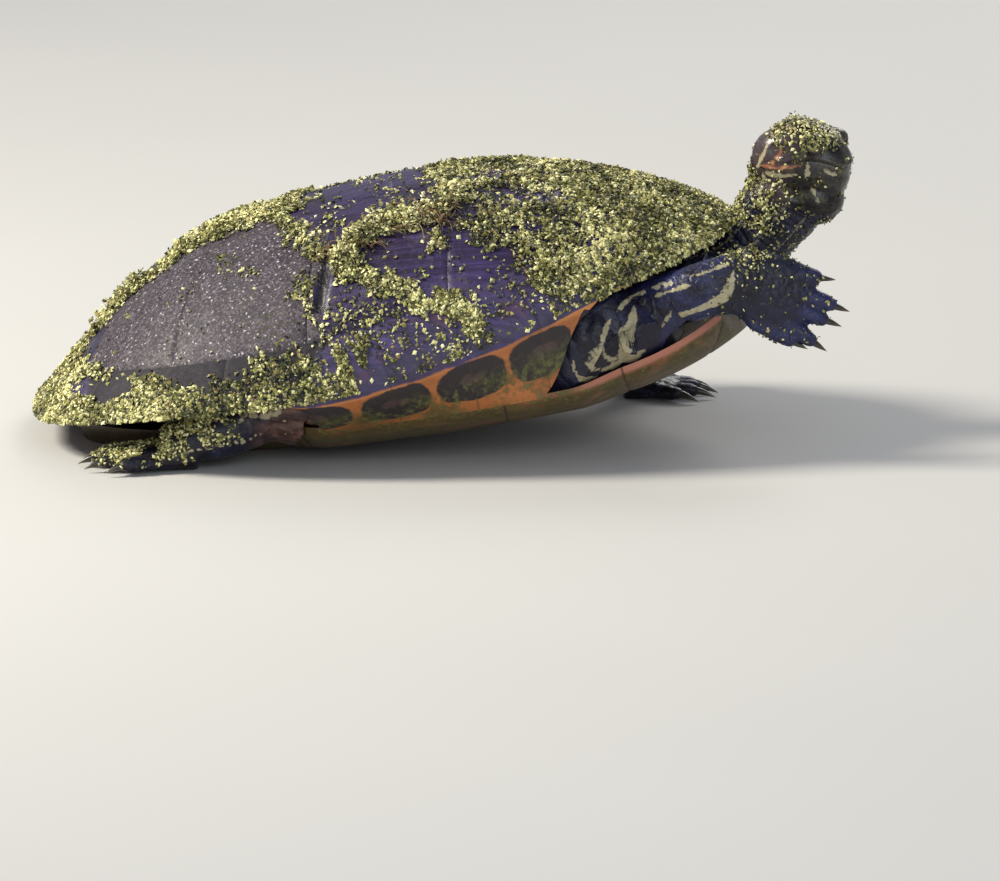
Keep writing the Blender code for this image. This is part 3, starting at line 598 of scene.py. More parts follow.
def margin_plate(name, start, end):
    """One length of the rim, as a closed tube with its ends capped."""
    turn = np.linspace(start, end, MARGIN_COLUMNS)
    top = seam_out(turn)
    upper = [dome(turn, 1 - (1 - top) * (1 - k / UPPER_STEPS) ** 1.6) for k in range(UPPER_STEPS + 1)]
    edge, foot = upper[-1], margin_foot(turn)
    steps = [k / LOWER_STEPS for k in range(1, LOWER_STEPS + 1)]
    lower = [mix(edge, foot, s) - np.array((0, 0, UNDERSIDE_SAG * s * (1 - s))) for s in steps]
    inside = under_dome(turn, top, SCUTE_THICKNESS)
    back = [mix(foot, inside, k / INNER_STEPS) for k in range(1, INNER_STEPS + 1)]
    ring = np.stack(upper + lower + back)
    by_edge = (np.abs(np.arange(1, len(ring) - 1) - UPPER_STEPS) < SOFT_ROWS)[:, None, None]
    for _ in range(2):
        softened = 0.25 * ring[:-2] + 0.5 * ring[1:-1] + 0.25 * ring[2:]
        ring[1:-1] = np.where(by_edge, softened, ring[1:-1])
    counts = (UPPER_STEPS, LOWER_STEPS, INNER_STEPS)
    around = np.concatenate([[0.0], *(face + np.linspace(0, 1, n + 1)[1:] for face, n in enumerate(counts))])
    v, u = np.meshgrid(around, np.linspace(0, 1, MARGIN_COLUMNS), indexing="ij")
    width = np.linalg.norm(np.diff(edge, axis=0), axis=-1).sum() / MM
    to_end = np.minimum(u, 1 - u) * width
    shown = v < 2.01
    height = np.where(shown, -SEAM_DEPTH * 0.8 * bump(to_end, 0, SEAM_WIDTH), 0)
    height -= np.where(v < 0.5, SEAM_DEPTH * np.exp(-((v * 9) ** 2)), 0)
    height += np.where(shown, 0.2 * MM * lumps(ring, 20), 0)
    ring = raised(ring, height, ring - ring.mean(axis=0))
    at_rear = blend(120, 150, math.degrees(abs(start)))
    notch = at_rear * NOTCH_DEPTH * np.exp(-to_end / 2.5) * bump(v, 1, 0.3)
    ring[..., :2] -= unit(ring[..., :2] - np.array((HUB_X, 0))) * notch[..., None]
    index = np.arange(v.size).reshape(v.shape)
    faces = quads_of(np.concatenate([index, index[:1]])).tolist()
    faces += [index[::-1, 0].tolist(), index[:, -1].tolist()]
    facts = {
        "around": v, "to_end": to_end, "dry": dryness(ring) * (v < 1) * 0.8,
        "down": np.clip(v - 1, 0, 1) * np.linalg.norm(foot - edge, axis=-1) / MM,
        "growth": growth_rings(u, np.clip(v, 0, 1), (0.75, 0.9)),
    }
    return new_piece(name, to_world(ring.reshape(-1, 3)), faces, facts)


rim, rim_shader, place = new_material("margin_horn", {"Specular IOR Level": 0.5})
around, to_end, down, growth, dry = place.attributes("around", "to_end", "down", "growth", "dry")
cloud, fine, pepper = place.grain(26, 5), place.grain(460, 5, 0.62), place.pepper(1400)
wander, film = place.grain(130, 4) - 0.5, place.grain(75, 5, 0.62)
streaks = place.streaks((0.0, 0.42, 0.3), (30, 700, 260), 6, 0.65)
lines = (growth * 46 + cloud * 30).ripples()
grey = (pepper.step(0.45, 0.95) * 0.8).paint((0.006, 0.004, 0.01), (0.03, 0.021, 0.042))
upper = layered(
    cloud.paint((0.022, 0.014, 0.032), (0.046, 0.036, 0.098)),
    # The violet-blue streaks are painted sheen, the sky's reflection on the wet horn, following the horn's own
    # streaks.
    (streaks.step(0.34, 0.8) * cloud.step(0.25, 0.7) * 0.95, (0.096, 0.068, 0.262)),
    (film.step(0.56, 0.7) * 0.4, (0.12, 0.045, 0.08)),
    (lines.step(0.88, 1.0) * streaks.step(0.4, 0.6) * 0.22, (0.18, 0.15, 0.2)),
    ((dry + (fine - 0.5) * 0.9).step(0.25, 0.55), grey),
    (to_end.step(0.9, 0.1) * fine.step(0.3, 0.6) * 0.5, (0.014, 0.012, 0.014)),
)

# The underside is orange with a paler lip. A blotch with a worn middle lies astride each seam
away, drop = to_end / 14.2, (down - 10.4) / 8.6
blotch = (away * away) ** 1.5 + (drop * drop) ** 1.5 + wander * 1.1
middle, depth = (to_end - 2.0) / 3.4, (down - 9.0) / 2.2
hole = middle * middle + depth**2 + wander * 4.5
spot = layered(
    fine.paint((0.01, 0.007, 0.009), (0.036, 0.024, 0.026)), (hole.step(1.3, 0.4) * 0.4, (0.12, 0.062, 0.064))
)
slime = fine.step(0.4, 0.7).paint((0.045, 0.048, 0.012), (0.15, 0.15, 0.04))
under = layered(
    cloud.step(0.3, 0.7).paint((0.3, 0.088, 0.022), (0.5, 0.172, 0.042)),
    (fine.step(0.5, 0.7) * 0.35, (0.17, 0.05, 0.02)),
    ((down + wander * 2.5).step(2.8, 0.6) * 0.8, (0.7, 0.27, 0.07)),
    (blotch.step(1.15, 0.9), spot),
    ((film * 0.7 + fine * 0.5).step(0.52, 0.68) * down.step(5, 15) * 0.85, slime),
    (to_end.step(0.6, 0.1) * 0.4, (0.05, 0.028, 0.02)),
)
feed(
    rim_shader,
    Base_Color=(around + wander * 0.1).step(1.03, 1.08).paint(upper, under),
    Roughness=fine * 0.28 + cloud * 0.2 + film * 0.15 + dry * 0.3 + 0.16,
    Normal=relief(lines * 0.16 + streaks * 0.7 + fine * 0.6, 0.0003, 0.75),
)

margins = [("nuchal", margin_plate("nuchal_horn", -marginal_turn(0), marginal_turn(0)))]
for side, tag in SIDES:
    for number in range(1, MARGINALS_A_SIDE + 1):
        node = f"marginal_{number:02d}_{tag}"
        span = side * marginal_turn(number - 1), side * marginal_turn(number)
        margins.append((node, margin_plate(node + "_horn", *span)))
for node, plate in margins:
    plate.data.materials.append(rim)
    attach(plate, "root")
    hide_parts(node)


# ---------------------------------------------------------------- the skin over head, neck, legs, tail and trunk
# Soft scaly skin covers everything outside the shell without a seam. It is loose and folded where the limbs leave
# the shell, granular on the neck, and drawn tight over the skull, with a horny sheath along the jaws.

HEAD_LENGTH, HEAD_YAW, HEAD_PITCH = 0.0358, math.radians(-30), math.radians(-12)
NAPE = (0.148 + SHELL_MIDDLE[0], 0.0, 0.1125)
turn_to_head = np.array(
    Matrix.Translation(NAPE) @ Matrix.Rotation(HEAD_YAW, 4, "Z") @ Matrix.Rotation(-HEAD_PITCH, 4, "Y")
)
head_axes, head_start = turn_to_head[:3, :3], turn_to_head[:3, 3]
EYE_RADIUS, EYE_CENTRE, LID_RADIUS = 0.0042, (0.69 * HEAD_LENGTH, 0.0088, 0.0085), 0.0048
HEAD_STATIONS = (
    (0.0118, 0.006, 0.0145), (0.0148, 0.0118, 0.0152), (0.0155, 0.0144, 0.015), (0.0145, 0.0149, 0.0142),
    (0.0123, 0.0138, 0.0134), (0.0096, 0.0106, 0.0122), (0.0062, 0.0056, 0.0096),
)
NECK_PATH = (
    (0.07, 0, 0.05), (0.104, 0, 0.056), (0.132, 0, 0.065),
    (0.1462, -0.001, 0.0788), (0.1535, -0.004, 0.089), (0.161, -0.009, 0.0985),
)
NECK_SIZES = (
    (0.026, 0.018), (0.021, 0.0165), (0.017, 0.015), (0.0152, 0.014), (0.0155, 0.0158), (0.0125, 0.014),
)
TAIL_PATH = ((-0.098, 0, 0.022), (-0.116, 0.004, 0.012), (-0.127, 0.018, 0.0068), (-0.131, 0.04, 0.0045))
TAIL_SIZES = ((0.012, 0.01), (0.0085, 0.0078), (0.0052, 0.0055), (0.002, 0.003))
FOREFOOT = {"palm": 0.017, "half_width": 0.0135, "thickness": 0.006, "claw": 0.0085, "toe_width": 0.0034}
HINDFOOT = {"palm": 0.024, "half_width": 0.015, "thickness": 0.006, "claw": 0.0075, "toe_width": 0.0034}
RAISED_HAND = {"palm": 0.022, "half_width": 0.016, "thickness": 0.007, "claw": 0.0074, "toe_width": 0.0037}
HIND_PATH = ((-0.032, 0.038, 0.024), (-0.046, 0.064, 0.02), (-0.064, 0.073, 0.0135), (-0.082, 0.0735, 0.0078))
HIND_SIZES = ((0.013, 0.011), (0.0125, 0.012), (0.0125, 0.011), (0.013, 0.008))


def fan(foot, angles, lengths):
    """A foot with its toes spread evenly over the front of the palm."""
    widest, palm, half_width = max(angles), foot["palm"], foot["half_width"]
    toes = []
    for angle, length in zip(angles, lengths):
        ahead, aside = palm * (0.45 - 0.15 * (angle / widest) ** 2), half_width * 0.74 * angle / widest
        toes.append((ahead, aside, angle, length + palm * 0.45))
    return foot | {"toes": toes}


def hind_foot(side):
    return fan(HINDFOOT, (-24, -12, 0, 12, 24), (0.006, 0.009, 0.01, 0.009, 0.005)) | {
        "wrist": (-0.077 + SHELL_MIDDLE[0], side * 0.073, 0.0048),
        "forward": (-1, side * 0.04, -0.03), "normal": (0, 0, 1),
    }


# Each leg: its line, its half widths and half heights, the way its height points, and its foot
LEGS = {
    "foreleg_right": (
        ((0.048, -0.03, 0.046), (0.09, -0.054, 0.053), (0.118, -0.0625, 0.065), (0.144, -0.064, 0.071)),
        ((0.012, 0.014), (0.011, 0.013), (0.01, 0.0108), (0.0075, 0.0145)),
        (-0.4, 0, 1),
        RAISED_HAND | {
            "wrist": (0.142 + SHELL_MIDDLE[0], -0.064, 0.069),
            "forward": (0.9, 0.02, -0.42),
            "normal": (0.02, -1, 0.12),
            "toes": (
                (0.006, -0.0125, -3.5, 0.0161), (0.013, -0.0075, -10, 0.0165), (0.014, -0.0015, 2, 0.0164),
                (0.014, 0.0045, 3, 0.0168), (0.009, 0.0095, 15, 0.0125),
            ),
        },
    ),
    "foreleg_left": (
        ((0.05, 0.03, 0.047), (0.088, 0.06, 0.052), (0.102, 0.08, 0.037), (0.1, 0.073, 0.009)),
        ((0.012, 0.013), (0.011, 0.011), (0.0105, 0.011), (0.0115, 0.01)),
        (1, 0, 0.2),
        fan(FOREFOOT, (-30, -14, 0, 14, 30), (0.006, 0.0095, 0.01, 0.0095, 0.006)) | {
            "wrist": (0.098 + SHELL_MIDDLE[0], 0.073, 0.0042),
            "forward": (0.98, 0.06, -0.03),
            "normal": (0, 0, 1),
        },
    ),
    "hindleg_right": ([(x, -y, z) for x, y, z in HIND_PATH], HIND_SIZES, (0, 0, 1), hind_foot(-1)),
    "hindleg_left": (HIND_PATH, HIND_SIZES, (0, 0, 1), hind_foot(1)),
}


def smooth_run(stations, count):
    """Values spread along a smooth curve through evenly spread stations."""
    stations = np.array(stations, float)
    last = len(stations) - 1
    place = np.linspace(0, last, count)
    start = np.minimum(place.astype(int), last - 1)
    a, b, c, d = (stations[np.clip(start + k, 0, last)] for k in (-1, 0, 1, 2))
    t = (place - start)[:, None]
    return (
        b * (2 * t**3 - 3 * t**2 + 1) + (c - a) / 2 * (t**3 - 2 * t**2 + t)
        + c * (3 * t**2 - 2 * t**3) + (d - b) / 2 * (t**3 - t**2)
    )


def tube(centres, sizes, up, sides=28):
    """Rings of points round a curve, with half widths and half heights."""
    ahead = unit(np.gradient(centres, axis=0))
    side = unit(np.cross(np.array(up, float), ahead))
    rise = np.cross(ahead, side)
    angle = (np.arange(sides) + 0.5) * 2 * math.pi / sides
    across, lift = np.cos(angle)[:, None], np.sin(angle)[:, None]
    wide, high = sizes[:, :1, None], sizes[:, 1:2, None]
    return centres[:, None] + side[:, None] * across * wide + rise[:, None] * lift * high


bodies = []


def add_body(points, faces):
    """Keeps a closed body to be joined into the skin."""
    bodies.append((np.asarray(points, float).reshape(-1, 3), faces))


def add_rings(rings):
    """Keeps a tube of rings, its ends closed."""
    count, sides = rings.shape[:2]
    index = np.arange(count * sides).reshape(count, sides)
    faces = quads_of(np.concatenate([index, index[:, :1]], axis=1)).tolist()
    add_body(rings, faces + [index[0, ::-1].tolist(), index[-1].tolist()])


def joined(name, facts):
    """One piece of all the bodies kept so far, which are then done with."""
    faces, start = [], 0
    for body, own in bodies:
        faces += [[k + start for k in face] for face in own]
        start += len(body)
    piece = new_piece(name, np.concatenate([body for body, _ in bodies]), faces, facts)
    bodies.clear()
    return piece


def add_pad(centre, radii, turn=0.0):
    """A soft swelling: an ellipsoid, turned about the vertical."""
    angle = np.linspace(0.02, math.pi - 0.02, 24)
    rings = np.stack([-np.cos(angle), np.sin(angle), np.sin(angle)], -1) * np.array(radii)
    centres = rings * (1, 0, 0)
    body = tube(centres, rings[:, 1:], (0, 0, 1))
    spin = np.array(Matrix.Rotation(turn, 3, "Z"))
    add_rings(body @ spin.T + np.array(centre))


def foot_axes(foot):
    """A foot's wrist, and the ways forward, across and up from its sole."""
    wrist, forward, normal = (np.array(foot[key], float) for key in ("wrist", "forward", "normal"))
    forward = unit(forward)
    across = unit(np.cross(normal, forward))
    return wrist, forward, across, np.cross(forward, across)


def toe_lines(foot):
    """Root and tip of each toe, without its claw, and the way it points."""
    wrist, forward, across, normal = foot_axes(foot)
    lines = []
    for ahead, aside, angle, length in foot["toes"]:
        turned = np.array(Matrix.Rotation(math.radians(angle), 3, Vector(normal)) @ Vector(forward))
        root = wrist + forward * ahead + across * aside
        lines.append((root, root + turned * length, turned))
    return lines


# Shares of the palm's length, half width and thickness, and the swellings of a toe along its joints
PALM = ((-0.3, 0.8, 1.1), (0.1, 0.95, 1.0), (0.5, 1.0, 0.85), (0.85, 0.92, 0.62), (1, 0.75, 0.4))
TOE_SHARES = np.array((0, 0.2, 0.35, 0.5, 0.65, 0.8, 0.9, 0.96, 1.0))
TOE_SIZES = np.array((1.0, 0.94, 1.0, 0.88, 0.94, 0.84, 0.7, 0.5, 0.28))
HALF_WEB = 0.0009


def add_foot(foot, webbed):
    wrist, forward, _, normal = foot_axes(foot)
    shares = smooth_run(PALM, 14)
    centres = wrist + forward * foot["palm"] * shares[:, :1]
    add_rings(tube(centres, shares[:, 1:] * (foot["half_width"], foot["thickness"]), normal))
    lines, width = toe_lines(foot), foot["toe_width"]
    for root, tip, turned in lines:
        centres = root + (tip + turned * width * 0.25 - root) * TOE_SHARES[:, None]
        add_rings(tube(centres, np.stack([TOE_SIZES, TOE_SIZES * 0.85], -1) * width, normal, 16))
    for (root, tip, _), (next_root, next_tip, _) in zip(lines, lines[1:]):
        far, next_far = mix(root, tip, webbed), mix(next_root, next_tip, webbed)
        middle = mix((far + next_far) / 2, (root + next_root) / 2, 0.14)
        outline = np.array([root, far, middle, next_far, next_root])
        sheet = np.concatenate([outline + normal * HALF_WEB, outline - normal * HALF_WEB])
        sides = [[k, (k + 1) % 5, (k + 1) % 5 + 5, k + 5] for k in range(5)]
        add_body(sheet, [[4, 3, 2, 1, 0], [5, 6, 7, 8, 9], *sides])


def shifted(path):
    """A path measured from the shell's middle, moved with the body."""
    return np.array(path, float) + (SHELL_MIDDLE[0], 0, 0)


for path, sizes, up, foot in LEGS.values():
    add_rings(tube(smooth_run(shifted(path), 40), smooth_run(sizes, 40), up))
    add_foot(foot, 0.86 if foot["palm"] > 0.02 else 0.6)
add_rings(tube(smooth_run(shifted(NECK_PATH), 50), smooth_run(NECK_SIZES, 50), (-1, 0, 0.6), 40))
add_rings(tube(smooth_run(shifted(TAIL_PATH), 30), smooth_run(TAIL_SIZES, 30), (0, 0, 1)))

# Soft skin in the leg openings, then the throat, and the skull, squared in section with a blunt snout
for side in (1, -1):
    middle_z, half_height = (0.0485, 0.019) if side > 0 else (0.044, 0.026)
    add_pad((0.054, side * 0.0595, middle_z), (0.033, 0.0215, half_height), side * 0.26)
    add_pad((-0.05, side * 0.064, 0.017), (0.026, 0.0155, 0.0105), side * 0.1)
THROAT = (((0.0242, 0.0, -0.0142), (0.0126, 0.0112, 0.0105)), ((0.013, 0.0, -0.02), (0.0145, 0.012, 0.01)))
for middle, radii in THROAT:
    add_pad(head_axes @ np.array(middle) + head_start, radii, HEAD_YAW)

SKULL_RINGS, SKULL_SIDES, SKULL_POWER, SKULL_SAMPLES, SNOUT_DROP = 46, 64, 2.4, 2000, 0.001
share = np.sin(np.linspace(0, math.pi / 2, SKULL_RINGS))[:, None]
profile = smooth_run(HEAD_STATIONS, SKULL_SAMPLES + 1)
wide, top, bottom = profile[(share[:, 0] * SKULL_SAMPLES).astype(int)].T
blunt = np.sqrt(np.maximum(1 - (np.maximum(share[:, 0] - 0.93, 0) / 0.0701) ** 2, 0.12))
angle = (np.arange(SKULL_SIDES) + 0.5) * 2 * math.pi / SKULL_SIDES
squared = (np.abs(np.cos(angle)) ** SKULL_POWER + np.abs(np.sin(angle)) ** SKULL_POWER) ** (-1 / SKULL_POWER)
lift = np.sin(angle) * squared
skull = np.stack([
    np.broadcast_to(share * HEAD_LENGTH * 1.03, (SKULL_RINGS, SKULL_SIDES)),
    np.cos(angle) * squared * (wide * blunt)[:, None],
    np.where(lift > 0, lift * top[:, None], lift * bottom[:, None]) * blunt[:, None]
    - SNOUT_DROP * (1 - blunt[:, None]),
], -1)
add_rings(skull @ head_axes.T + head_start)
EYES = {side: head_axes @ (np.array(EYE_CENTRE) * (1, side, 1)) + head_start for side in (1, -1)}
for centre in EYES.values():
    add_pad(centre, (LID_RADIUS,) * 3)

# The trunk fills the shell behind all of these
solid = bmesh.new()
solid.from_mesh(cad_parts["trunk"].data)
bmesh.ops.remove_doubles(solid, verts=solid.verts, dist=1e-6)
solid.verts.index_update()
add_body([v.co[:] for v in solid.verts], [[v.index for v in f.verts] for f in solid.faces])
solid.free()
skin = joined("skin", {})


def apply(piece, kind, **settings):
    """Puts a modifier on a piece and makes its result permanent."""
    modifier = piece.modifiers.new(kind.title(), kind)
    for key, value in settings.items():
        setattr(modifier, key, value)
    with bpy.context.temp_override(object=piece, active_object=piece):
        bpy.ops.object.modifier_apply(modifier=modifier.name)


def vectors_of(piece, key="co"):
    """Where each point of a piece is, or which way its surface faces there."""
    flat = np.empty(len(piece.data.vertices) * 3)
    piece.data.vertices.foreach_get(key, flat)
    return flat.reshape(-1, 3)


def to_shell(points):
    """From metres back to the level shell, in shell lengths."""
    x, y, z = np.moveaxis((points - SHELL_MIDDLE) / SHELL_LENGTH, -1, 0)
    c, s = math.cos(SHELL_PITCH), math.sin(SHELL_PITCH)
    return np.stack([x * c + z * s, y, -x * s + z * c], -1)


def to_head(points):
    """Millimetres in the head's own frame: x to the snout, y to the turtle's left, z up."""
    return (points - head_start) @ head_axes * 1000


def eye_axes(side):
    """The way an eye looks, and the way along its opening to the front."""
    gaze = unit(head_axes @ np.array((0.34, side * 0.9, 0.2)))
    front = head_axes @ np.array((1.0, 0, -0.08))
    return gaze, unit(front - gaze * (front @ gaze))


# One closed surface, thinned where the shell hides it and made finer on the head and the raised hand
SKIN_GRAIN, MOST_TRIANGLES, FINE_FROM_X_MM, FINE_FROM_Z = 0.00105, 196_000, -2.5, 0.045
apply(skin, "REMESH", mode="VOXEL", voxel_size=SKIN_GRAIN)
apply(skin, "SMOOTH", factor=0.5, iterations=6)
shell_places = to_shell(vectors_of(skin))
_, out = polar(shell_places[:, :2])
within_bridge = (shell_places[:, 0] > -0.12) & (shell_places[:, 0] < 0.22)
buried = ((out < 0.72) | (out < 0.9) & within_bridge) & (vectors_of(skin)[:, 0] < 0.088)
hidden = skin.vertex_groups.new(name="hidden")
hidden.add(np.nonzero(buried)[0].tolist(), 1.0, "REPLACE")
apply(skin, "DECIMATE", ratio=1 - buried.mean() + 0.03, vertex_group="hidden", vertex_group_factor=10.0)
skin.vertex_groups.clear()

fine_head = bmesh.new()
fine_head.from_mesh(skin.data)
head_mm = to_head(vectors_of(skin))
ahead = (head_mm[:, 0] > FINE_FROM_X_MM) & (vectors_of(skin)[:, 2] > FINE_FROM_Z)
edges = [edge for edge in fine_head.edges if ahead[edge.verts[0].index] and ahead[edge.verts[1].index]]
bmesh.ops.subdivide_edges(fine_head, edges=edges, cuts=1, use_grid_fill=True, smooth=0.3)
bmesh.ops.triangulate(fine_head, faces=[f for f in fine_head.faces if len(f.verts) > 4])
fine_head.to_mesh(skin.data)
fine_head.free()

places, outward = vectors_of(skin), vectors_of(skin, "normal")
head_mm = to_head(places)
head_x, head_y, head_z = head_mm.T
on_head = blend(-2, 3, head_x) * blend(-20, -15, head_z)


def folds(phase, sharpness):
    """Creases in a row, one to each turn of the phase."""
    return np.maximum(np.sin(phase), 0) ** sharpness


def scales_at(points, scale):
    """Edge distance within a pattern of cells: 0 between two scales, about 0.5 in the middle of one."""
    found = (noise.voronoi(Vector(p))[0] for p in (points * scale).tolist())
    return np.array([near[1] - near[0] for near in found])


def nearest_on(line, points):
    """Distance from a line of close points, and how far along it the nearest one is."""
    best, index = np.full(len(points), 1e9), np.zeros(len(points), int)
    for k, spot in enumerate(line):
        distance = ((points - spot) ** 2).sum(-1)
        closer = distance < best
        best[closer], index[closer] = distance[closer], k
    return np.sqrt(best), index


wobble = lumps(places, 90)
rough = lumps(places, 320, 2)
lift = 0.1 * rough * (1 - on_head) + 0.07 * rough * on_head
granules = scales_at(places, 520)
plates = scales_at(places, 250)

# Folds round the neck and along each leg, deepest where the skin is loose by the shell
distance, along = nearest_on(smooth_run(shifted(NECK_PATH), 90), places)
on_neck = blend(0.029, 0.021, distance) * (1 - on_head) * (places[:, 0] > 0.07)
run = along / 90 * 118
lift -= on_neck * 0.75 * folds(run * 1.25 + 2.2 * wobble, 3)
lift += on_neck * 0.22 * blend(0.02, 0.25, granules)
on_leg, on_hand, ridges = np.zeros((3, len(places)))
for name, (path, sizes, up, foot) in LEGS.items():
    distance, along = nearest_on(smooth_run(shifted(path), 50), places)
    near = blend(0.021, 0.015, distance) * (1 - np.maximum(on_neck, on_head))
    loose = blend(38, 14, along) * 0.8 + 0.5 * bump(along, 45, 4)
    lift -= near * loose * 0.9 * folds(along * 1.55 + 2.6 * wobble, 2)
    on_leg = np.maximum(on_leg, near)
    wrist, forward, across, normal = foot_axes(foot)
    away = places - wrist - forward * foot["palm"] * 0.7
    on_foot = blend(0.038, 0.026, np.linalg.norm(away, axis=-1)) * (1 - on_head) * (1 - on_neck)
    on_leg = np.maximum(on_leg, on_foot)
    for root, tip, turned in toe_lines(foot):
        back = wrist - forward * foot["palm"] * 0.15 + (root - wrist) @ across * across * 0.25
        runs = ((back, root, 12), (root, tip, 14))
        bone = np.concatenate([mix(start, end, np.linspace(0, 1, count)[:, None]) for start, end, count in runs])
        gap, along = nearest_on(bone, places)
        ridges = np.maximum(ridges, on_foot * blend(1, 9, along) * bump(gap / foot["toe_width"], 0, 0.95))
    on_hand = np.maximum(on_hand, on_foot)
lift += on_hand * 2.0 * (ridges - 0.4)
lift += on_leg * 0.16 * (blend(0.03, 0.22, plates) - 0.6)
pads = (1 - np.maximum(np.maximum(on_leg, on_neck), on_head)) * (np.abs(places[:, 1]) > 0.03)
bend = np.hypot((places[:, 0] - 0.092) * 0.8, places[:, 2] - 0.06)
lift -= pads * 0.5 * folds(bend * 1300 + 2.5 * wobble, 2)

# The mouth: a cut under an overhanging beak, rising towards the eye and turning down at its corner
MOUTH_X, MOUTH_Z = (12, 17, 21, 25, 29, 33, 37, 40), (-2.6, -0.6, 1.4, 2.7, 3.3, 2.9, 2.0, 1.5)
above = head_z - np.interp(head_x, MOUTH_X, MOUTH_Z)
gape = blend(14, 18, head_x) * on_head
lift -= gape * 0.75 * bump(above, 0, 0.38)
lift += gape * 0.28 * bump(above, 1.0, 0.8) * blend(22, 30, head_x)
lift -= gape * 0.4 * blend(0.0, -0.8, above) * blend(-6, -3, above) * blend(20, 30, head_x)
hook = np.exp(-((head_y / 1.6) ** 2) - ((head_x - 38) / 2.5) ** 2)
lift += 0.35 * hook * bump(above, 0.2, 0.8)
for side in (1, -1):
    across = head_mm * (1, side, 1)
    ear = np.linalg.norm((across - (12.5, 14.2, 3.4)) * (1, 0.5, 1), axis=-1)
    lift += -0.55 * blend(3.3, 2.4, ear) + 0.22 * bump(ear, 3.6, 0.5)
    nostril = np.linalg.norm(across - (38.0, 1.5, 4.3), axis=-1)
    lift += -0.9 * bump(nostril, 0, 0.6) + 0.18 * bump(nostril, 1.2, 0.4)
places = places + outward * lift[:, None] * 0.001

# Lids: an almond opening over the eyeball, a rolled margin, and a crease above and below
opening = np.full(len(places), 9.0)
for side, centre in EYES.items():
    gaze, front = eye_axes(side)
    crown = np.cross(front, gaze) * side
    reach = places - centre
    radius = np.linalg.norm(reach, axis=-1)
    a, b = reach @ front * 1000, reach @ crown * 1000
    almond = (np.abs(a / 3.45) ** 1.7 + np.abs(b / np.where(b > 0, 2.25, 2.45)) ** 1.7) ** (1 / 1.7)
    near = (reach @ gaze > 0) & (radius < 0.0062)
    lid = 4.62 + 0.3 * bump(almond, 1.13, 0.13) - 0.22 * bump(almond, 1.42, 0.1)
    target = mix(3.75, lid, blend(0.93, 1.03, almond)) * 0.001
    hold = blend(1.75, 1.45, almond) * near
    places += reach * ((target / radius - 1) * hold)[:, None]
    opening = np.where(near, np.minimum(opening, almond), opening)

# Nothing goes through the plastron or the rim
level = to_shell(places)
x, y, z = level.T
top = plastron_bottom(x, y) + PLASTRON_THICKNESS + 0.002
planted = (places[:, 1] > 0) & (places[:, 2] < 0.04) & (places[:, 0] > 0.0635)
within = plastron_half_width(x) + mix(mix(-0.012, 0.006, blend(-0.24, -0.18, x)), 0.06, blend(0.18, 0.26, x))
beside = planted & (z < top) & (z > top - PLASTRON_THICKNESS - 0.012)
y = np.where(beside, np.maximum(y, plastron_half_width(x) + 0.007), y)
inside = (np.abs(y) < within) & (x < 0.49) & (x > -0.45) & (z < top) & (z > top - 0.12) & ~planted
inside &= (x > -0.1) | (z > top - 0.035)
z = np.where(inside, top, z)
turn, out = polar(level)
edge, foot = dome(turn, np.ones_like(turn)), margin_foot(turn)
up_share = np.clip((z - foot[:, 2]) / (edge[:, 2] - foot[:, 2]), 0, 1)
wall = mix(np.abs(foot[:, 1]), np.abs(edge[:, 1]), up_share) - 0.011
behind = blend(0.345, 0.29, x) * blend(-0.2, -0.14, x) * ~planted
y = np.where(np.abs(y) > wall, np.sign(y) * mix(np.abs(y), wall, behind), y)
lowest = mix(edge[:, 2], foot[:, 2], np.clip((1 - out) / 0.14, 0, 1)) - 0.004
under = (out > 0.84) & (out < 1.0) & (z > lowest) & (z < edge[:, 2] + 0.12) & (x > -0.45)
z = np.where(under & ~inside, lowest, z)
places = to_world(np.stack([x, y, z], -1))
places[:, 2] = np.maximum(places[:, 2], 0.0)


def tree_of(spots):
    """A tree to look up the nearest of many spots."""
    tree = KDTree(len(spots))
    for number, spot in enumerate(spots.tolist()):
        tree.insert(spot, number)
    tree.balance()
    return tree


def stripes(lines, spots, tree):
    """Millimetres outside the nearest of some stripes, each a half width and a line laid on the skin.

    A stripe tapers to its ends and swells and thins on the way.
    """
    found = np.full(len(spots), 9.0)
    for half_width, line in lines:
        dense = smooth_run(line, 14 * len(line))
        laid = np.array([spots[tree.find(p)[1]] for p in dense])
        distance, index = nearest_on(laid, spots)
        share = index / (len(dense) - 1)
        swell = 0.8 + 0.3 * np.sin(share * 9 + half_width * 40) + 0.5 * uneven
        width = half_width * swell * np.minimum(1, 0.25 + 5.5 * np.minimum(share, 1 - share))
        found = np.minimum(found, distance - width)
    return found


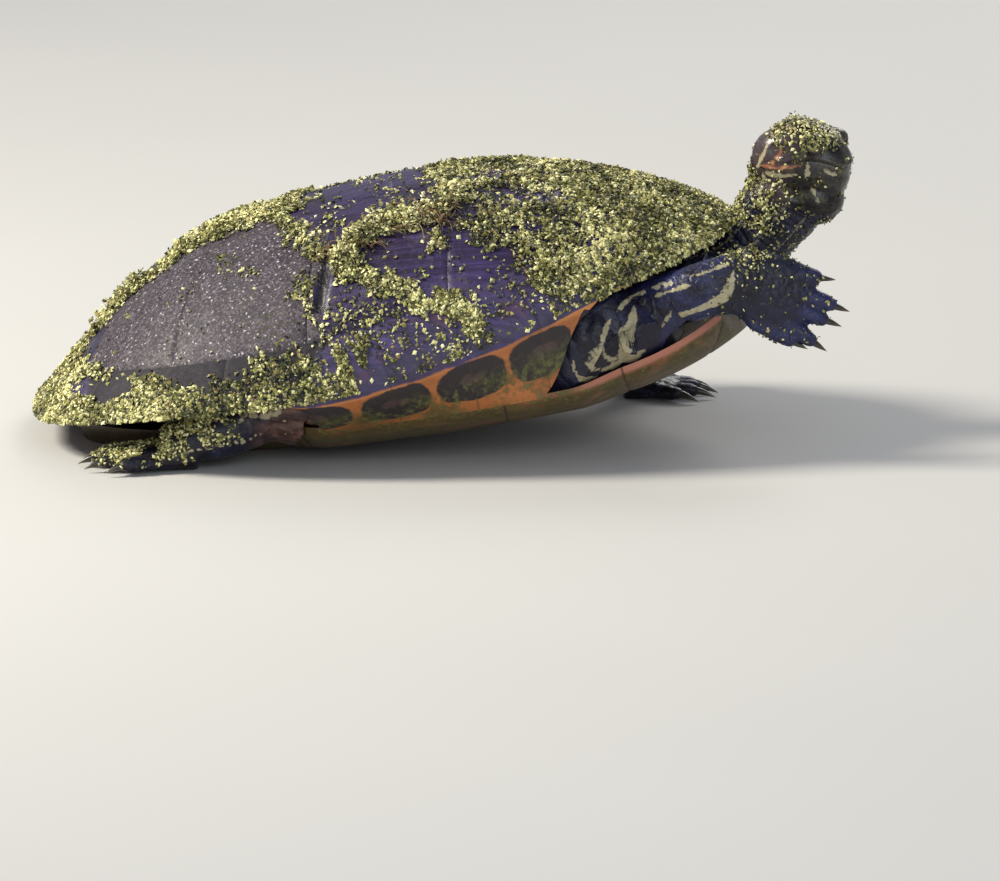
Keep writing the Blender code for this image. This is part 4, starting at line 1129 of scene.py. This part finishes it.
HEAD_CREAM = (
    (0.75, ((4.1, 12.3, -8), (6.9, 14.6, -0.3), (8.3, 13.3, 6.4), (8.8, 12, 9))),
    (1.05, ((8, 13.8, -6.4), (13, 14, -6), (17.2, 13.4, -4.9), (21.5, 12.4, -3.4))),
    (0.95, ((8.6, 14.2, -7.5), (8.2, 14, -11.5), (9, 13.2, -15.5))),
    (0.85, ((25, 11.2, 1.6), (25.2, 11, -1.8), (25.6, 10.6, -5.2))),
    (0.75, ((27.6, 9.2, -7.2), (28.3, 7.4, -10.2), (28.8, 5.3, -13))),
    (0.5, ((31, 9.2, 0.5), (33.4, 8, -0.4), (35.6, 6.4, -1))),
    (0.45, ((2, 5.5, 12.5), (14, 5, 14), (24, 3.6, 13.4), (33, 1.6, 9))),
)
AXILLA_CREAM = (
    # x and z only: these lie on whatever skin is outermost there
    (1.9, ((73, 61.9), (71.5, 54.9), (68, 51), (68.4, 45.6), (68.5, 41.5), (72.5, 40.6), (78, 43.5))),
    (1.8, ((70.4, 49.5), (69.8, 46.5), (69.6, 43.5))),
    (0.95, ((63.8, 57.5), (60.8, 51), (61, 45.5), (63.8, 42), (67, 41))),
    (1.25, ((55, 47), (55.6, 42), (58.2, 38.6), (63.5, 37.4), (69.5, 39.6))),
    (1, ((49.5, 42.5), (50.8, 37.6), (54, 34.6), (60, 34.4))),
    (0.65, ((81, 65.5), (87.4, 67.9), (94.3, 70.2))),
    (0.6, ((66.5, 60.5), (71, 64.5), (77, 66.8))),
)
HEAD_ORANGE = (
    (0.55, ((7.1, 14.2, -4.4), (11.5, 15, -1.6), (14, 13.6, 3.5), (15, 11.9, 9))),
    (0.7, ((6.5, 14.6, -3.8), (12.5, 14.9, -3.4), (18, 13.7, -1.6), (22.9, 11.9, 0.4))),
)
BODY_CREAM = (
    (1.7, ((111, 70, 76), (108, 71.3, 66.6), (99.5, 71.1, 62), (90, 69.8, 58.5), (82, 66, 54))),
    (0.8, ((110, 70, 80), (100, 69, 74), (90, 66, 69), (80, 64, 66))),
    (0.9, ((-46, 72, 24), (-66, 76, 21), (-88, 76, 16), (-104, 76, 11))),
    (0.6, ((-60, 88, 10), (-80, 90, 8), (-98, 90, 7))),
    (0.6, ((-126, 4, 28), (-146, 10, 14), (-153, 26, 9))),
)
along_neck = smooth_run(shifted(NECK_PATH), 9)[2:]
neck_rings = tube(along_neck, smooth_run(NECK_SIZES, 9)[2:], (-1, 0, 0.6), 40)
NECK_CREAM = [(0.45, neck_rings[:, k] * 1000) for k in (1, 5, 9, 15, 19, 23, 27, 30, 33, 37)]
spots = places * 1000
uneven = lumps(places, 260, 2)
both = [(w, np.array(line) * (1, s, 1)) for w, line in BODY_CREAM for s in (1, -1)]
cream = stripes(both, spots, tree_of(spots))
for side in (1, -1):
    flat = spots * (1, 0.08 * side, 1)
    laid = [(w, [(x, 7.4, z) for x, z in line]) for w, line in AXILLA_CREAM]
    near = stripes(laid, flat, tree_of(flat))
    cream = np.where(spots[:, 1] * side > 45, np.minimum(cream, near), cream)
head_mm = to_head(places)
faint = stripes(NECK_CREAM, spots, tree_of(spots))
orange = np.full(len(places), 9.0)
for side in (1, -1):
    flipped = head_mm * (1, side, 1)
    tree = tree_of(flipped)
    cream = np.minimum(cream, stripes(HEAD_CREAM, flipped, tree))
    orange = np.minimum(orange, stripes(HEAD_ORANGE, flipped, tree))
skin.data.vertices.foreach_set("co", places.reshape(-1))
skin.data.update()
add_facts(skin.data, {
    "cream": cream, "faint": faint, "orange": orange, "head": on_head, "limb": on_leg, "opening": opening,
    "above": np.where(gape > 0.5, above, 9), "snout": head_mm[:, 0],
    "plates": mix(granules, plates, on_leg), "groove_shade": on_hand * (1 - ridges),
    "arm": on_leg * blend(0.062, 0.085, places[:, 0]) * (places[:, 1] < 0),
    "groin": blend(-0.078, -0.062, places[:, 0]) * blend(0.03, 0.01, places[:, 0]) * (places[:, 2] < 0.034),
})
triangles = sum(len(face.vertices) - 2 for face in skin.data.polygons)
if triangles > MOST_TRIANGLES:
    apply(skin, "DECIMATE", ratio=MOST_TRIANGLES / triangles)

hide, hide_shader, place = new_material("skin", {"Specular IOR Level": 0.35, "Coat Roughness": 0.15})
cream, orange, head, above, plates, limb = place.attributes("cream", "orange", "head", "above", "plates", "limb")
opening, snout, faint, arm, groin, groove_shade = place.attributes("opening", "snout", "faint", "arm", "groin", "groove_shade")
cloud, fine, specks = place.grain(60, 5), place.grain(700, 5, 0.6), place.grain(300, 4, 0.6)
wander, tiny = place.grain(700, 4) - 0.5, place.cells(1500)
flesh = place.streaks((0, 0.2, 0), (60, 300, 300), 5, 0.6).step(0.35, 0.65)
face = cloud.step(0.3, 0.62)
scalp = layered(
    face.paint((0.02, 0.012, 0.016), (0.066, 0.042, 0.05)),
    # The front of the face is painted darker: painted shade on the side turned from the light.
    ((snout + wander * 6).step(15, 23), face.paint((0.006, 0.005, 0.006), (0.017, 0.014, 0.014))),
    (specks.step(0.48, 0.62) * 0.5, (0.08, 0.078, 0.034)),
    (fine.step(0.6, 0.72) * 0.3, (0.16, 0.15, 0.13)),
)
pale = layered(
    cloud.paint((0.34, 0.3, 0.16), (0.6, 0.54, 0.36)), (specks.step(0.5, 0.66) * 0.45, (0.17, 0.15, 0.1))
)
worn, stripe = fine.step(0.27, 0.4) * specks.step(0.8, 0.66), orange + wander * 1.1
beak = above.step(3.2, 2.4) * above.step(-3.4, -2.6) * snout.step(24, 31)
gap = above.step(0.42, 0.12) * above.step(-0.42, -0.12)
colour = layered(
    cloud.step(0.32, 0.68).paint((0.007, 0.006, 0.012), (0.018, 0.018, 0.044)),
    (arm * cloud.step(0.3, 0.55) * 0.95, (0.022, 0.026, 0.098)),
    # Blue-grey specks and pale grey flecks on the limbs: dried algae on the skin, and painted glints of its wet
    # surface.
    (specks.step(0.54, 0.68) * 0.36, (0.068, 0.074, 0.16)),
    (specks.step(0.42, 0.3) * fine.step(0.42, 0.6) * 0.6, (0.06, 0.058, 0.022)),
    (fine.step(0.64, 0.72) * limb * 0.45, (0.26, 0.27, 0.3)),
    (groin * 0.85, flesh.paint((0.06, 0.03, 0.026), (0.23, 0.12, 0.09))),
    (head, scalp),
    (plates.step(0.12, 0.0) * (1 - head) * 0.3, (0.008, 0.008, 0.012)),
    # Dark between the hand's finger ridges: painted shade in the grooves.
    (groove_shade.step(0.45, 0.95) * 0.75, (0.006, 0.006, 0.009)),
    ((faint + wander * 0.8).step(0.25, -0.15) * worn * 0.38, pale),
    ((cream + wander * 1.5).step(0.3, -0.2) * worn * 0.92, pale),
    (stripe.step(0.35, -0.1) * 0.88, (0.34, 0.125, 0.06)),
    (stripe.step(-0.2, -0.5) * 0.8, (0.56, 0.36, 0.2)),
    (beak * 0.35, cloud.paint((0.05, 0.042, 0.036), (0.115, 0.095, 0.07))),
    (gap * 0.85, (0.006, 0.005, 0.006)),
    (opening.step(1.1, 0.99), (0.01, 0.009, 0.009)),
)
feed(
    hide_shader,
    Base_Color=colour,
    Roughness=fine * 0.4 + cloud * 0.25 - head * 0.14 + 0.04,
    Coat_Weight=cloud.step(0.35, 0.6) * (head * 0.28 + 0.08),
    Normal=relief(plates.step(0.0, 0.18) * 0.3 + fine * 0.7 + tiny * 0.35, 0.00028, 0.8),
)
skin.data.materials.append(hide)
skin.data.shade_smooth()
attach(skin, "root")
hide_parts("trunk", "neck", "head", "tail", *LEGS)


# ---------------------------------------------------------------- the eyes
# Each eye is a wet round ball set in the skull. Its yellow-green iris is crossed by a dark bar that runs
# through the round pupil, in line with the stripe on the face.

eyeball, eye_shader, place = new_material("eye", {"Roughness": 0.08, "Coat Weight": 1.0, "Coat Roughness": 0.03})
ring, bar = place.attributes("ring", "bar")
flecks = place.grain(2600, 4)
colour = layered(
    flecks.step(0.3, 0.7).paint((0.16, 0.145, 0.022), (0.4, 0.36, 0.08)),
    ((bar + (flecks - 0.5) * 0.5).step(0.75, 0.45) * 0.9, (0.02, 0.016, 0.01)),
    (ring.step(2.55, 2.85), (0.02, 0.017, 0.015)),
    (ring.step(1.36, 1.26), (0.55, 0.49, 0.15)),
    (ring.step(1.24, 1.14), (0.003, 0.003, 0.003)),
)
feed(eye_shader, Base_Color=colour)
for side, tag in SIDES:
    bpy.ops.mesh.primitive_uv_sphere_add(segments=64, ring_count=40, radius=EYE_RADIUS, location=EYES[side])
    ball = bpy.context.object
    ball.name = f"{tag}_eyeball"
    bpy.ops.object.transform_apply(location=True, rotation=True, scale=True)
    bpy.ops.object.shade_smooth()
    reach = (vectors_of(ball) - EYES[side]) * 1000
    gaze, front = eye_axes(side)
    a, b = reach @ front, reach @ np.cross(front, gaze)
    add_facts(ball.data, {"ring": np.where(reach @ gaze > 0, np.hypot(a, b), 9), "bar": np.abs(b)})
    ball.data.materials.append(eyeball)
    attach(ball, "root")
    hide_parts(f"eye_{tag}")


# ---------------------------------------------------------------- the claws
# Five curved horn claws on each foot, round in section, dark at the root and worn paler at the tip. Each grows
# out of the end of its toe and bends down towards the sole.

claw_horn, claw_shader, place = new_material("claw", {"Coat Weight": 0.4, "Coat Roughness": 0.2})
[worn], grit = place.attributes("worn"), place.grain(900, 4)
colour = (worn + (grit - 0.5) * 0.4).step(0.45, 1.0).paint((0.024, 0.022, 0.014), (0.12, 0.1, 0.06))
feed(claw_shader, Base_Color=colour, Roughness=grit * 0.3 + 0.18, Normal=relief(grit, 0.0001, 0.5))
CLAW_RINGS, CLAW_SIDES, CLAW_SUNK = 18, 16, 0.0012
share = np.linspace(0, 1, CLAW_RINGS)[:, None]
for name, (*_, foot) in LEGS.items():
    normal = foot_axes(foot)[3]
    for root, tip, turned in toe_lines(foot):
        centres = tip - turned * CLAW_SUNK + turned * (foot["claw"] + CLAW_SUNK) * share
        centres = centres - normal * foot["claw"] * 0.3 * share**2
        thick = foot["toe_width"] * 0.48 * np.maximum(1 - share**1.8, 0.04)
        add_rings(tube(centres, np.concatenate([thick * 0.85, thick], 1), normal, CLAW_SIDES))
    claws = joined(f"{name}_claws", {"worn": np.tile(np.repeat(share, CLAW_SIDES), len(bodies))})
    claws.data.materials.append(claw_horn)
    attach(claws, "root")


# ---------------------------------------------------------------- the duckweed that came up with the turtle
# Green fronds a millimetre or two across cling to the wet shell and skin. They are piled on the crown of the back,
# strewn along the rear rim, and felted with brown roots in one wad.

MAP_SPAN, PATCH = 0.4, 0.003
SPREADS = (
    # density, heap in mm, half width in shell lengths, and a line over the level shell
    (1.0, 4.6, 0.036, ((-0.24, -0.02), (-0.17, -0.03), (-0.105, -0.04))),
    (0.8, 2.0, 0.026, ((-0.345, -0.03), (-0.29, -0.04), (-0.24, -0.028))),
    (1.0, 5.5, 0.024, ((-0.352, -0.03), (-0.322, -0.038))),
    (1.0, 3.4, 0.016, ((-0.2, 0.03), (-0.14, 0.022), (-0.095, -0.01))),
    (0.95, 1.8, 0.013, ((-0.11, -0.045), (-0.093, -0.097), (-0.074, -0.151), (-0.045, -0.212))),
    (1.0, 7.5, 0.018, (
        (-0.032, -0.224), (-0.009, -0.21), (0.022, -0.19), (0.058, -0.176), (0.106, -0.178), (0.136, -0.15),
    )),
    (0.8, 3.0, 0.013, ((0.105, -0.225), (0.115, -0.18), (0.14, -0.14))),
    (0.95, 1.6, 0.011, ((-0.036, -0.226), (-0.017, -0.253), (0.02, -0.273), (0.055, -0.294))),
    (0.95, 1.6, 0.017, ((0.055, -0.296), (0.095, -0.309), (0.132, -0.316))),
    (0.8, 0.9, 0.008, ((-0.052, -0.332), (-0.015, -0.325), (0.012, -0.318))),
    (0.75, 0.8, 0.006, ((-0.09, -0.349), (-0.052, -0.353))),
    (0.24, 0.6, 0.02, ((-0.06, -0.3), (0.03, -0.312))),
    (0.34, 0.8, 0.007, ((-0.072, -0.235), (-0.08, -0.3))),
    (0.22, 0.6, 0.012, ((-0.18, -0.16), (-0.15, -0.2))),
    (0.7, 1.2, 0.014, ((-0.385, 0.0), (-0.42, -0.012), (-0.47, -0.03))),
    (0.9, 1.8, 0.014, ((-0.092, -0.007), (-0.06, 0.1), (-0.08, 0.19), (-0.04, 0.26))),
    (0.9, 2.2, 0.016, ((0.02, 0.24), (0.08, 0.29), (0.15, 0.31))),
    (0.35, 0.8, 0.03, ((-0.2, 0.22), (-0.12, 0.28), (0.0, 0.33))),
)
RIM_BAND = (
    # degrees round the rim from the front, and how far out the weed starts there
    (-172, 0.82), (-153, 0.86), (-141, 0.89), (-134, 0.91), (-125, 0.94), (-117, 0.93), (-106, 0.92), (-101, 0.93),
    (-95, 1.02),
)
BARE_LINE = ((-0.428, -0.158), (-0.384, -0.236), (-0.35, -0.262))
dice = np.random.default_rng(41)


def lifted(plan, z=0.0):
    """Plan points with a height, to look noise up at."""
    return np.column_stack([plan, np.full(len(plan), z)])


def weed_cover(plan):
    """Chance of a frond at each plan point of the shell, and how high the fronds are heaped there."""
    coarse, grain = lumps(lifted(plan), 14, 4), lumps(lifted(plan, 3.0), 55)
    fleck = lumps(lifted(plan, 7.0), 120, 2)
    ragged = coarse * 0.022 + grain * 0.016 + fleck * 0.006
    clumped = blend(-0.14, 0.12, fleck + 0.45 * grain)
    x, y = plan.T

    # The crown of the back, with gaps in it and a window low on the right
    crown = (np.abs((x - 0.33) / 0.205) ** 2.6 + np.abs((y + 0.015) / 0.3) ** 2.6) ** (1 / 2.6)
    crown = crown + coarse * 0.15 + grain * 0.12
    window = np.hypot((x - 0.228 + 0.4 * (y + 0.128)) / 0.062, (y + 0.128) / 0.026) + coarse * 0.9 + grain * 0.5
    chance = blend(1.06, 0.9, crown) * mix(0.14, 1.0, clumped)
    holes = blend(0.06, 0.26, coarse + 0.5 * grain) * blend(0.4, 0.22, x)
    chance *= (1 - 0.86 * holes) * (1 - 0.85 * blend(1.1, 0.75, window))
    heap = mix(0.2, 2.1, blend(-0.1, 0.45, grain + fleck)) * chance

    # The strands and drifts
    for density, depth, half_width, line in SPREADS:
        near = density * blend(half_width * 1.25, half_width * 0.55, line_distance(plan, line) + ragged)
        near = near * mix(min(0.25 + 0.12 * depth, 0.95), 1.0, clumped)
        heap = np.maximum(heap, near * depth * mix(0.6, 1.0, clumped))
        chance = np.maximum(chance, near)

    # The rim's band, thin at its very edge, and fronds strewn everywhere but on the dry horn and in the cleft
    turn, out = polar(plan)
    start = np.interp(-np.degrees(np.abs(turn)), *zip(*RIM_BAND))
    band = blend(start - 0.02, start + 0.02, out + ragged * 1.2)
    band *= blend(0.008, 0.018, line_distance(plan, BARE_LINE) + ragged * 0.4)
    band = band * mix(1.0, 0.6, blend(-0.36, -0.26, x)) * mix(0.16, 1.0, clumped)
    chance, heap = np.maximum(chance, band * 0.95), np.maximum(heap, band * mix(0.4, 1.3, blend(0.99, 0.93, out)))
    strewn = (0.034 * blend(0.0, 0.4, coarse) + 0.005) * (1 - 0.85 * dryness(lifted(plan)))
    return np.maximum(chance, strewn) * blend(0.007, 0.011, line_distance(plan, CLEFT)), heap


FROND_POINTS = 6


def fronds(roots, normals, heaps, sizes):
    """A flat angular frond of eight faces at each root, tipped every way, as points and faces."""
    count = len(roots)
    tip = unit(normals + dice.normal(0, 0.55, (count, 3)))
    side = unit(np.cross(tip, dice.normal(0, 1, (count, 3))))
    other = np.cross(tip, side)
    centre = roots + normals * (heaps * dice.uniform(0, 1, count) ** 0.8 * 0.001 + sizes * 0.16)[:, None]
    long, short = sizes * 0.62, sizes * dice.uniform(0.3, 0.55, count)
    reach = [side * long[:, None], other * short[:, None], -side * long[:, None], -other * short[:, None]]
    crest, keel = tip * (sizes * 0.24)[:, None], -tip * (sizes * 0.2)[:, None]
    points = centre[:, None] + np.stack([*reach, crest, keel], 1)
    points[..., 2] = np.maximum(points[..., 2], 0.0)
    ring, after = np.arange(4), (np.arange(4) + 1) % 4
    upper, lower = np.stack([ring, after, np.full(4, 4)], 1), np.stack([after, ring, np.full(4, 5)], 1)
    faces = np.concatenate([upper, lower])[None] + (np.arange(count) * FROND_POINTS)[:, None, None]
    return points.reshape(-1, 3), faces.reshape(-1, 3)


def coat_piece(name, points, faces, per_root, facts, map_places):
    """A mesh of many small bodies, each with its own patch of the map and one value for each fact."""
    mesh = bpy.data.meshes.new(name)
    mesh.from_pydata(points.tolist(), [], faces.tolist())
    add_facts(mesh, {key: np.repeat(values, per_root) for key, values in facts.items()})
    own = points.reshape(len(map_places), per_root, 3)
    local = own[..., :2] - own[..., :2].mean(1, keepdims=True)
    local = local / np.maximum(np.abs(local).max((1, 2), keepdims=True), 1e-9) * PATCH / 2
    spread = (np.clip(map_places, 0.01, 0.99)[:, None] + local).reshape(-1, 2)
    loops = np.empty(len(mesh.loops), int)
    mesh.loops.foreach_get("vertex_index", loops)
    layer = mesh.uv_layers.new(name="OFBake")
    layer.data.foreach_set("uv", spread[loops].astype(np.float32).reshape(-1))
    piece = bpy.data.objects.new(name, mesh)
    bpy.context.collection.objects.link(piece)
    return piece


weed, weed_shader, place = new_material("duckweed", {"Specular IOR Level": 0.45})
shade, age_and_shadow = place.attributes("shade", "age_and_shadow")
speck = place.grain(1800, 3)
# Each frond's tone runs from near black to pale yellow-green: partly its own colour, partly painted sun and
# shadow. The palest carry a painted highlight, old fronds turn brown, and a share of the rest is painted nearly
# black as shadow between the fronds.
colour = layered(
    (shade + (speck - 0.5) * 0.3).paint((0.034, 0.038, 0.012), (0.61, 0.59, 0.17)),
    (shade.step(0.6, 0.88), (0.95, 0.91, 0.46)),
    (age_and_shadow.step(0.86, 0.97) * 0.8, (0.32, 0.235, 0.09)),
    (age_and_shadow.step(0.36, 0.14) * 0.9, (0.022, 0.026, 0.01)),
)
feed(weed_shader, Base_Color=colour, Roughness=speck * 0.35 + 0.22, Normal=relief(speck, 0.0001, 0.4))

# On the shell: sown over its plan and again along the rim, then cut into six pieces from rear to front
SOWN, HALF_PLAN, OUTERMOST = 340_000, (0.5, 0.37), 0.999
plan = np.column_stack([dice.uniform(-half, half, SOWN) for half in HALF_PLAN])
rim_turns, rim_outs = dice.uniform(-math.pi, math.pi, SOWN // 3), 1 - 0.12 * dice.uniform(0, 1, SOWN // 3) ** 1.6
rim_reach = rim_outs * rim_radius(rim_turns)
plan = np.concatenate([plan, np.stack([HUB_X + rim_reach * np.cos(rim_turns), rim_reach * np.sin(rim_turns)], 1)])
turn, out = polar(plan)
plan, turn, out = (values[out < OUTERMOST] for values in (plan, turn, out))
chance, heap = weed_cover(plan)
kept = dice.uniform(0, 1, len(plan)) < chance
plan, turn, out, heap = plan[kept], turn[kept], out[kept], heap[kept]
roots = to_world(dome(turn, out))
normals = unit(roots - to_world(under_dome(turn, np.minimum(out, 0.985), 0.01)))
sizes = dice.uniform(0.001, 0.0022, len(roots)) * dice.uniform(0.6, 1.1, len(roots))
# A frond's tone is drawn at random and in patches, spread wide to hold painted sun and shadow as well as its own
# colour; thicker heaps are painted brighter as sunlit, and the drier fronds of the rear rim paler.
shades = dice.normal(0.43, 0.33, len(roots)) + 0.55 * lumps(roots, 60) + 0.06 * heap
shades = np.clip(shades + 0.12 * blend(-0.22, -0.38, plan[:, 0]), 0, 1)
# One draw a frond: high values turn it brown with age, low ones paint it dark as shadow.
ages_and_shadows = dice.uniform(0, 1, len(roots))
map_places = 0.5 + plan * SHELL_LENGTH / MAP_SPAN
cuts = np.quantile(plan[:, 0], np.linspace(0, 1, 7)) - (1, 0, 0, 0, 0, 0, 0)  # the first lies behind every root
coat = []
for number, (low, high) in enumerate(zip(cuts, cuts[1:]), 1):
    own = (plan[:, 0] > low) & (plan[:, 0] <= high)
    points, faces = fronds(roots[own], normals[own], heap[own], sizes[own])
    facts = {"shade": shades[own], "age_and_shadow": ages_and_shadows[own]}
    coat.append((coat_piece(f"duckweed_{number}", points, faces, FROND_POINTS, facts, map_places[own]), weed))

# On the skin: a tuft on the crown of the head, the cheek and nape, the raised wrist and the hind feet
skin_places, skin_normals = vectors_of(skin), vectors_of(skin, "normal")
head_x, head_y, head_z = to_head(skin_places).T
coarse = lumps(skin_places, 130, 3)
crown = blend(6, 9.5, head_z + coarse * 3) * blend(4, 9, head_x)
crown = crown * blend(34, 28, head_x) * blend(-6, 4, -head_y)
tuft = np.exp(-(((head_x - 11) / 3.6) ** 2 + ((head_y + 2) / 4) ** 2)) * (head_z > 7)
cheek = blend(-5, -8, head_z + coarse * 4) * blend(24, 14, head_x + coarse * 6) * blend(-12, -4, head_x)
cheek = cheek * (head_y < 2) * blend(-32, -24, head_z)
WRIST = (0.1165, -0.066, 0.082)
wrist = blend(0.012, 0.005, np.linalg.norm(skin_places - WRIST, axis=1) + coarse * 0.004)
heel = (np.abs(skin_places[:, 1]) > 0.06) * blend(-0.072, -0.088, skin_places[:, 0])
heel = heel * (skin_normals[:, 2] > -0.3) * blend(-0.35, 0.05, coarse)
brow = np.exp(-(((head_x - 19) / 5) ** 2 + ((head_z - 10) / 6) ** 2)) * (head_y < -4)
chance = np.maximum.reduce([crown, tuft, brow * 0.7, cheek * 0.6 * blend(-0.5, 0.0, coarse), wrist * 0.35, heel])
# Fronds on the head's crown and tuft, the cheek and the hind feet are painted brighter: painted sunlight, also
# where the shell shades the hind feet.
sunlit_weed = np.maximum.reduce([crown, tuft, heel, cheek * 0.7])
dusted = blend(0.0, 0.35, lumps(skin_places, 260, 3))
chance = np.maximum(chance, (0.008 + 0.11 * dusted * (head_x > -12)) * (skin_places[:, 0] > 0.1))
chance *= 1 - blend(6.2, 4.8, np.linalg.norm(skin_places - EYES[-1], axis=1) * 1000) * 0.55
spacing = np.where((head_x > FINE_FROM_X_MM) & (skin_places[:, 2] > FINE_FROM_Z), 0.42, 0.95)
kept = np.concatenate([np.nonzero(dice.uniform(0, 1, len(chance)) < chance * spacing)[0] for _ in range(2)])
roots, normals = skin_places[kept] + dice.normal(0, 0.0003, (len(kept), 3)), skin_normals[kept]
heap = (2.6 * tuft**3 + 1.0 * crown + 0.6 * cheek + 0.8 * heel)[kept]
sizes = dice.uniform(0.0007, 0.0016, len(roots))
points, faces = fronds(roots, normals, heap, sizes)
shades = np.clip(dice.normal(0.5, 0.32, len(roots)) + 0.2 * sunlit_weed[kept], 0, 1)
facts = {"shade": shades, "age_and_shadow": dice.uniform(0, 1, len(roots))}
# The map of the skin is peeled outwards, so that its sides and undersides lie outside its top
PEEL = 0.02
peeled = roots[:, :2] + normals[:, :2] * (1 - normals[:, 2:]) * PEEL
coat.append((coat_piece("duckweed_on_skin", points, faces, FROND_POINTS, facts, 0.5 + peeled / MAP_SPAN), weed))

# Brown roots, felted through the wad on the right side
STRANDS, STRAND_RINGS, STRAND_SIDES = 150, 9, 5
WAD = np.array(((-0.036, -0.226), (0.022, -0.192), (0.07, -0.178), (0.125, -0.178), (0.11, -0.225)))
root_brown, root_shader, place = new_material("weed_roots", {})
[shade], speck = place.attributes("shade"), place.grain(1500, 3)
colour = (shade + (speck - 0.5) * 0.4).paint((0.05, 0.028, 0.014), (0.3, 0.19, 0.085))
feed(root_shader, Base_Color=colour, Roughness=speck * 0.3 + 0.35)
strands, strand_faces, strand_roots = [], [], []
index = np.arange(STRAND_RINGS * STRAND_SIDES).reshape(STRAND_RINGS, STRAND_SIDES)
quads = quads_of(np.concatenate([index, index[:, :1]], axis=1))
share = np.linspace(0, 1, STRAND_RINGS)
for number in range(STRANDS):
    place_on = dice.uniform(0, 3.2)
    step = min(int(place_on), 3)
    start = mix(WAD[step], WAD[step + 1], place_on - step) + dice.normal(0, 0.008, 2)
    heading, length = dice.uniform(0, 2 * math.pi), dice.uniform(0.015, 0.045)
    bend = heading + share * dice.uniform(-2.2, 2.2)
    line = start + np.cumsum(np.stack([np.cos(bend), np.sin(bend)], 1), axis=0) * length / STRAND_RINGS
    turn, out = polar(line)
    arch = dice.uniform(0.5, 3.2) * np.sin(share * math.pi) + dice.uniform(0.2, 3.4)
    base = to_world(dome(turn, np.minimum(out, 0.98)))
    centres = base + unit(base - to_world(under_dome(turn, np.minimum(out, 0.98), 0.01))) * arch[:, None] * 0.001
    thick = dice.uniform(0.0002, 0.0005) * (1.15 - share)
    rings = tube(centres, np.stack([thick, thick], 1), (0, 0.3, 1), STRAND_SIDES)
    strand_faces.append(quads + number * index.size)
    strands.append(rings.reshape(-1, 3))
    strand_roots.append(0.5 + start * SHELL_LENGTH / MAP_SPAN)
coat.append((coat_piece(
    "duckweed_roots", np.concatenate(strands), np.concatenate(strand_faces), index.size,
    {"shade": dice.uniform(0, 1, STRANDS)}, np.array(strand_roots),
), root_brown))
for piece, material in coat:
    piece.data.materials.append(material)
    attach(piece, "root")


# ---------------------------------------------------------------- the studio: floor, lights and camera
# A wide pale floor, a warm soft light high behind the tail, a broad cool one on the turtle's right, and a third
# beyond its left. A long lens looks across the turtle from its right side, and a little down on it.

bpy.ops.mesh.primitive_plane_add(size=40, location=(0, 8, 0))
floor = bpy.context.object
floor.name = "studio_floor"
bpy.ops.object.transform_apply(location=True, rotation=True, scale=True)
pale, pale_shader, place = new_material("pale_floor", {"Specular IOR Level": 0.2})
mottle = place.grain(3, 3)
feed(
    pale_shader,
    Base_Color=mottle.paint((0.58, 0.575, 0.555), (0.62, 0.615, 0.595)),
    Roughness=mottle * 0.1 + 0.7,
)
floor.data.materials.append(pale)


def soft_light(name, place, aim, size, power, colour):
    light = bpy.data.lights.new(name, "AREA")
    light.shape, light.size, light.energy, light.color = "DISK", size, power, colour
    lamp = bpy.data.objects.new(name, light)
    bpy.context.collection.objects.link(lamp)
    lamp.location = place
    lamp.rotation_euler = (Vector(aim) - Vector(place)).to_track_quat("-Z", "Y").to_euler()


soft_light("key", (-1.2, -0.1, 1.15), (0, 0, 0.04), 0.55, 34, (1.0, 0.94, 0.82))
soft_light("fill", (0.5, -2.0, 0.8), (0, 0, 0.04), 1.6, 13, (0.88, 0.93, 1.0))
soft_light("back", (0.7, 1.6, 1.2), (0, 0, 0.06), 1.0, 14, (1.0, 0.97, 0.93))
world = bpy.data.worlds.new("studio")
world.use_nodes = True
world.node_tree.nodes["Background"].inputs["Color"].default_value = (0.86, 0.9, 1.0, 1)
world.node_tree.nodes["Background"].inputs["Strength"].default_value = 0.36
bpy.context.scene.world = world
bpy.context.scene.view_settings.view_transform = "Standard"

CAMERA_HEIGHT_ANGLE = math.radians(11)
CAMERA_DISTANCE = 4.0
FRAME_WIDTH = 0.3878
SHELL_FROM_FRAME_MIDDLE = (-0.0452, 0.0512)
up = Vector((0, math.sin(CAMERA_HEIGHT_ANGLE), math.cos(CAMERA_HEIGHT_ANGLE)))
ahead = Vector((0, math.cos(CAMERA_HEIGHT_ANGLE), -math.sin(CAMERA_HEIGHT_ANGLE)))
aim = Vector(SHELL_MIDDLE) - Vector((1, 0, 0)) * SHELL_FROM_FRAME_MIDDLE[0] - up * SHELL_FROM_FRAME_MIDDLE[1]
lens = bpy.data.cameras.new("camera")
camera = bpy.data.objects.new("camera", lens)
bpy.context.collection.objects.link(camera)
lens.sensor_width = 36
lens.lens = lens.sensor_width * CAMERA_DISTANCE / FRAME_WIDTH
lens.clip_end = 60
camera.location = aim - ahead * CAMERA_DISTANCE
camera.rotation_euler = ahead.to_track_quat("-Z", "Y").to_euler()
bpy.context.scene.camera = camera
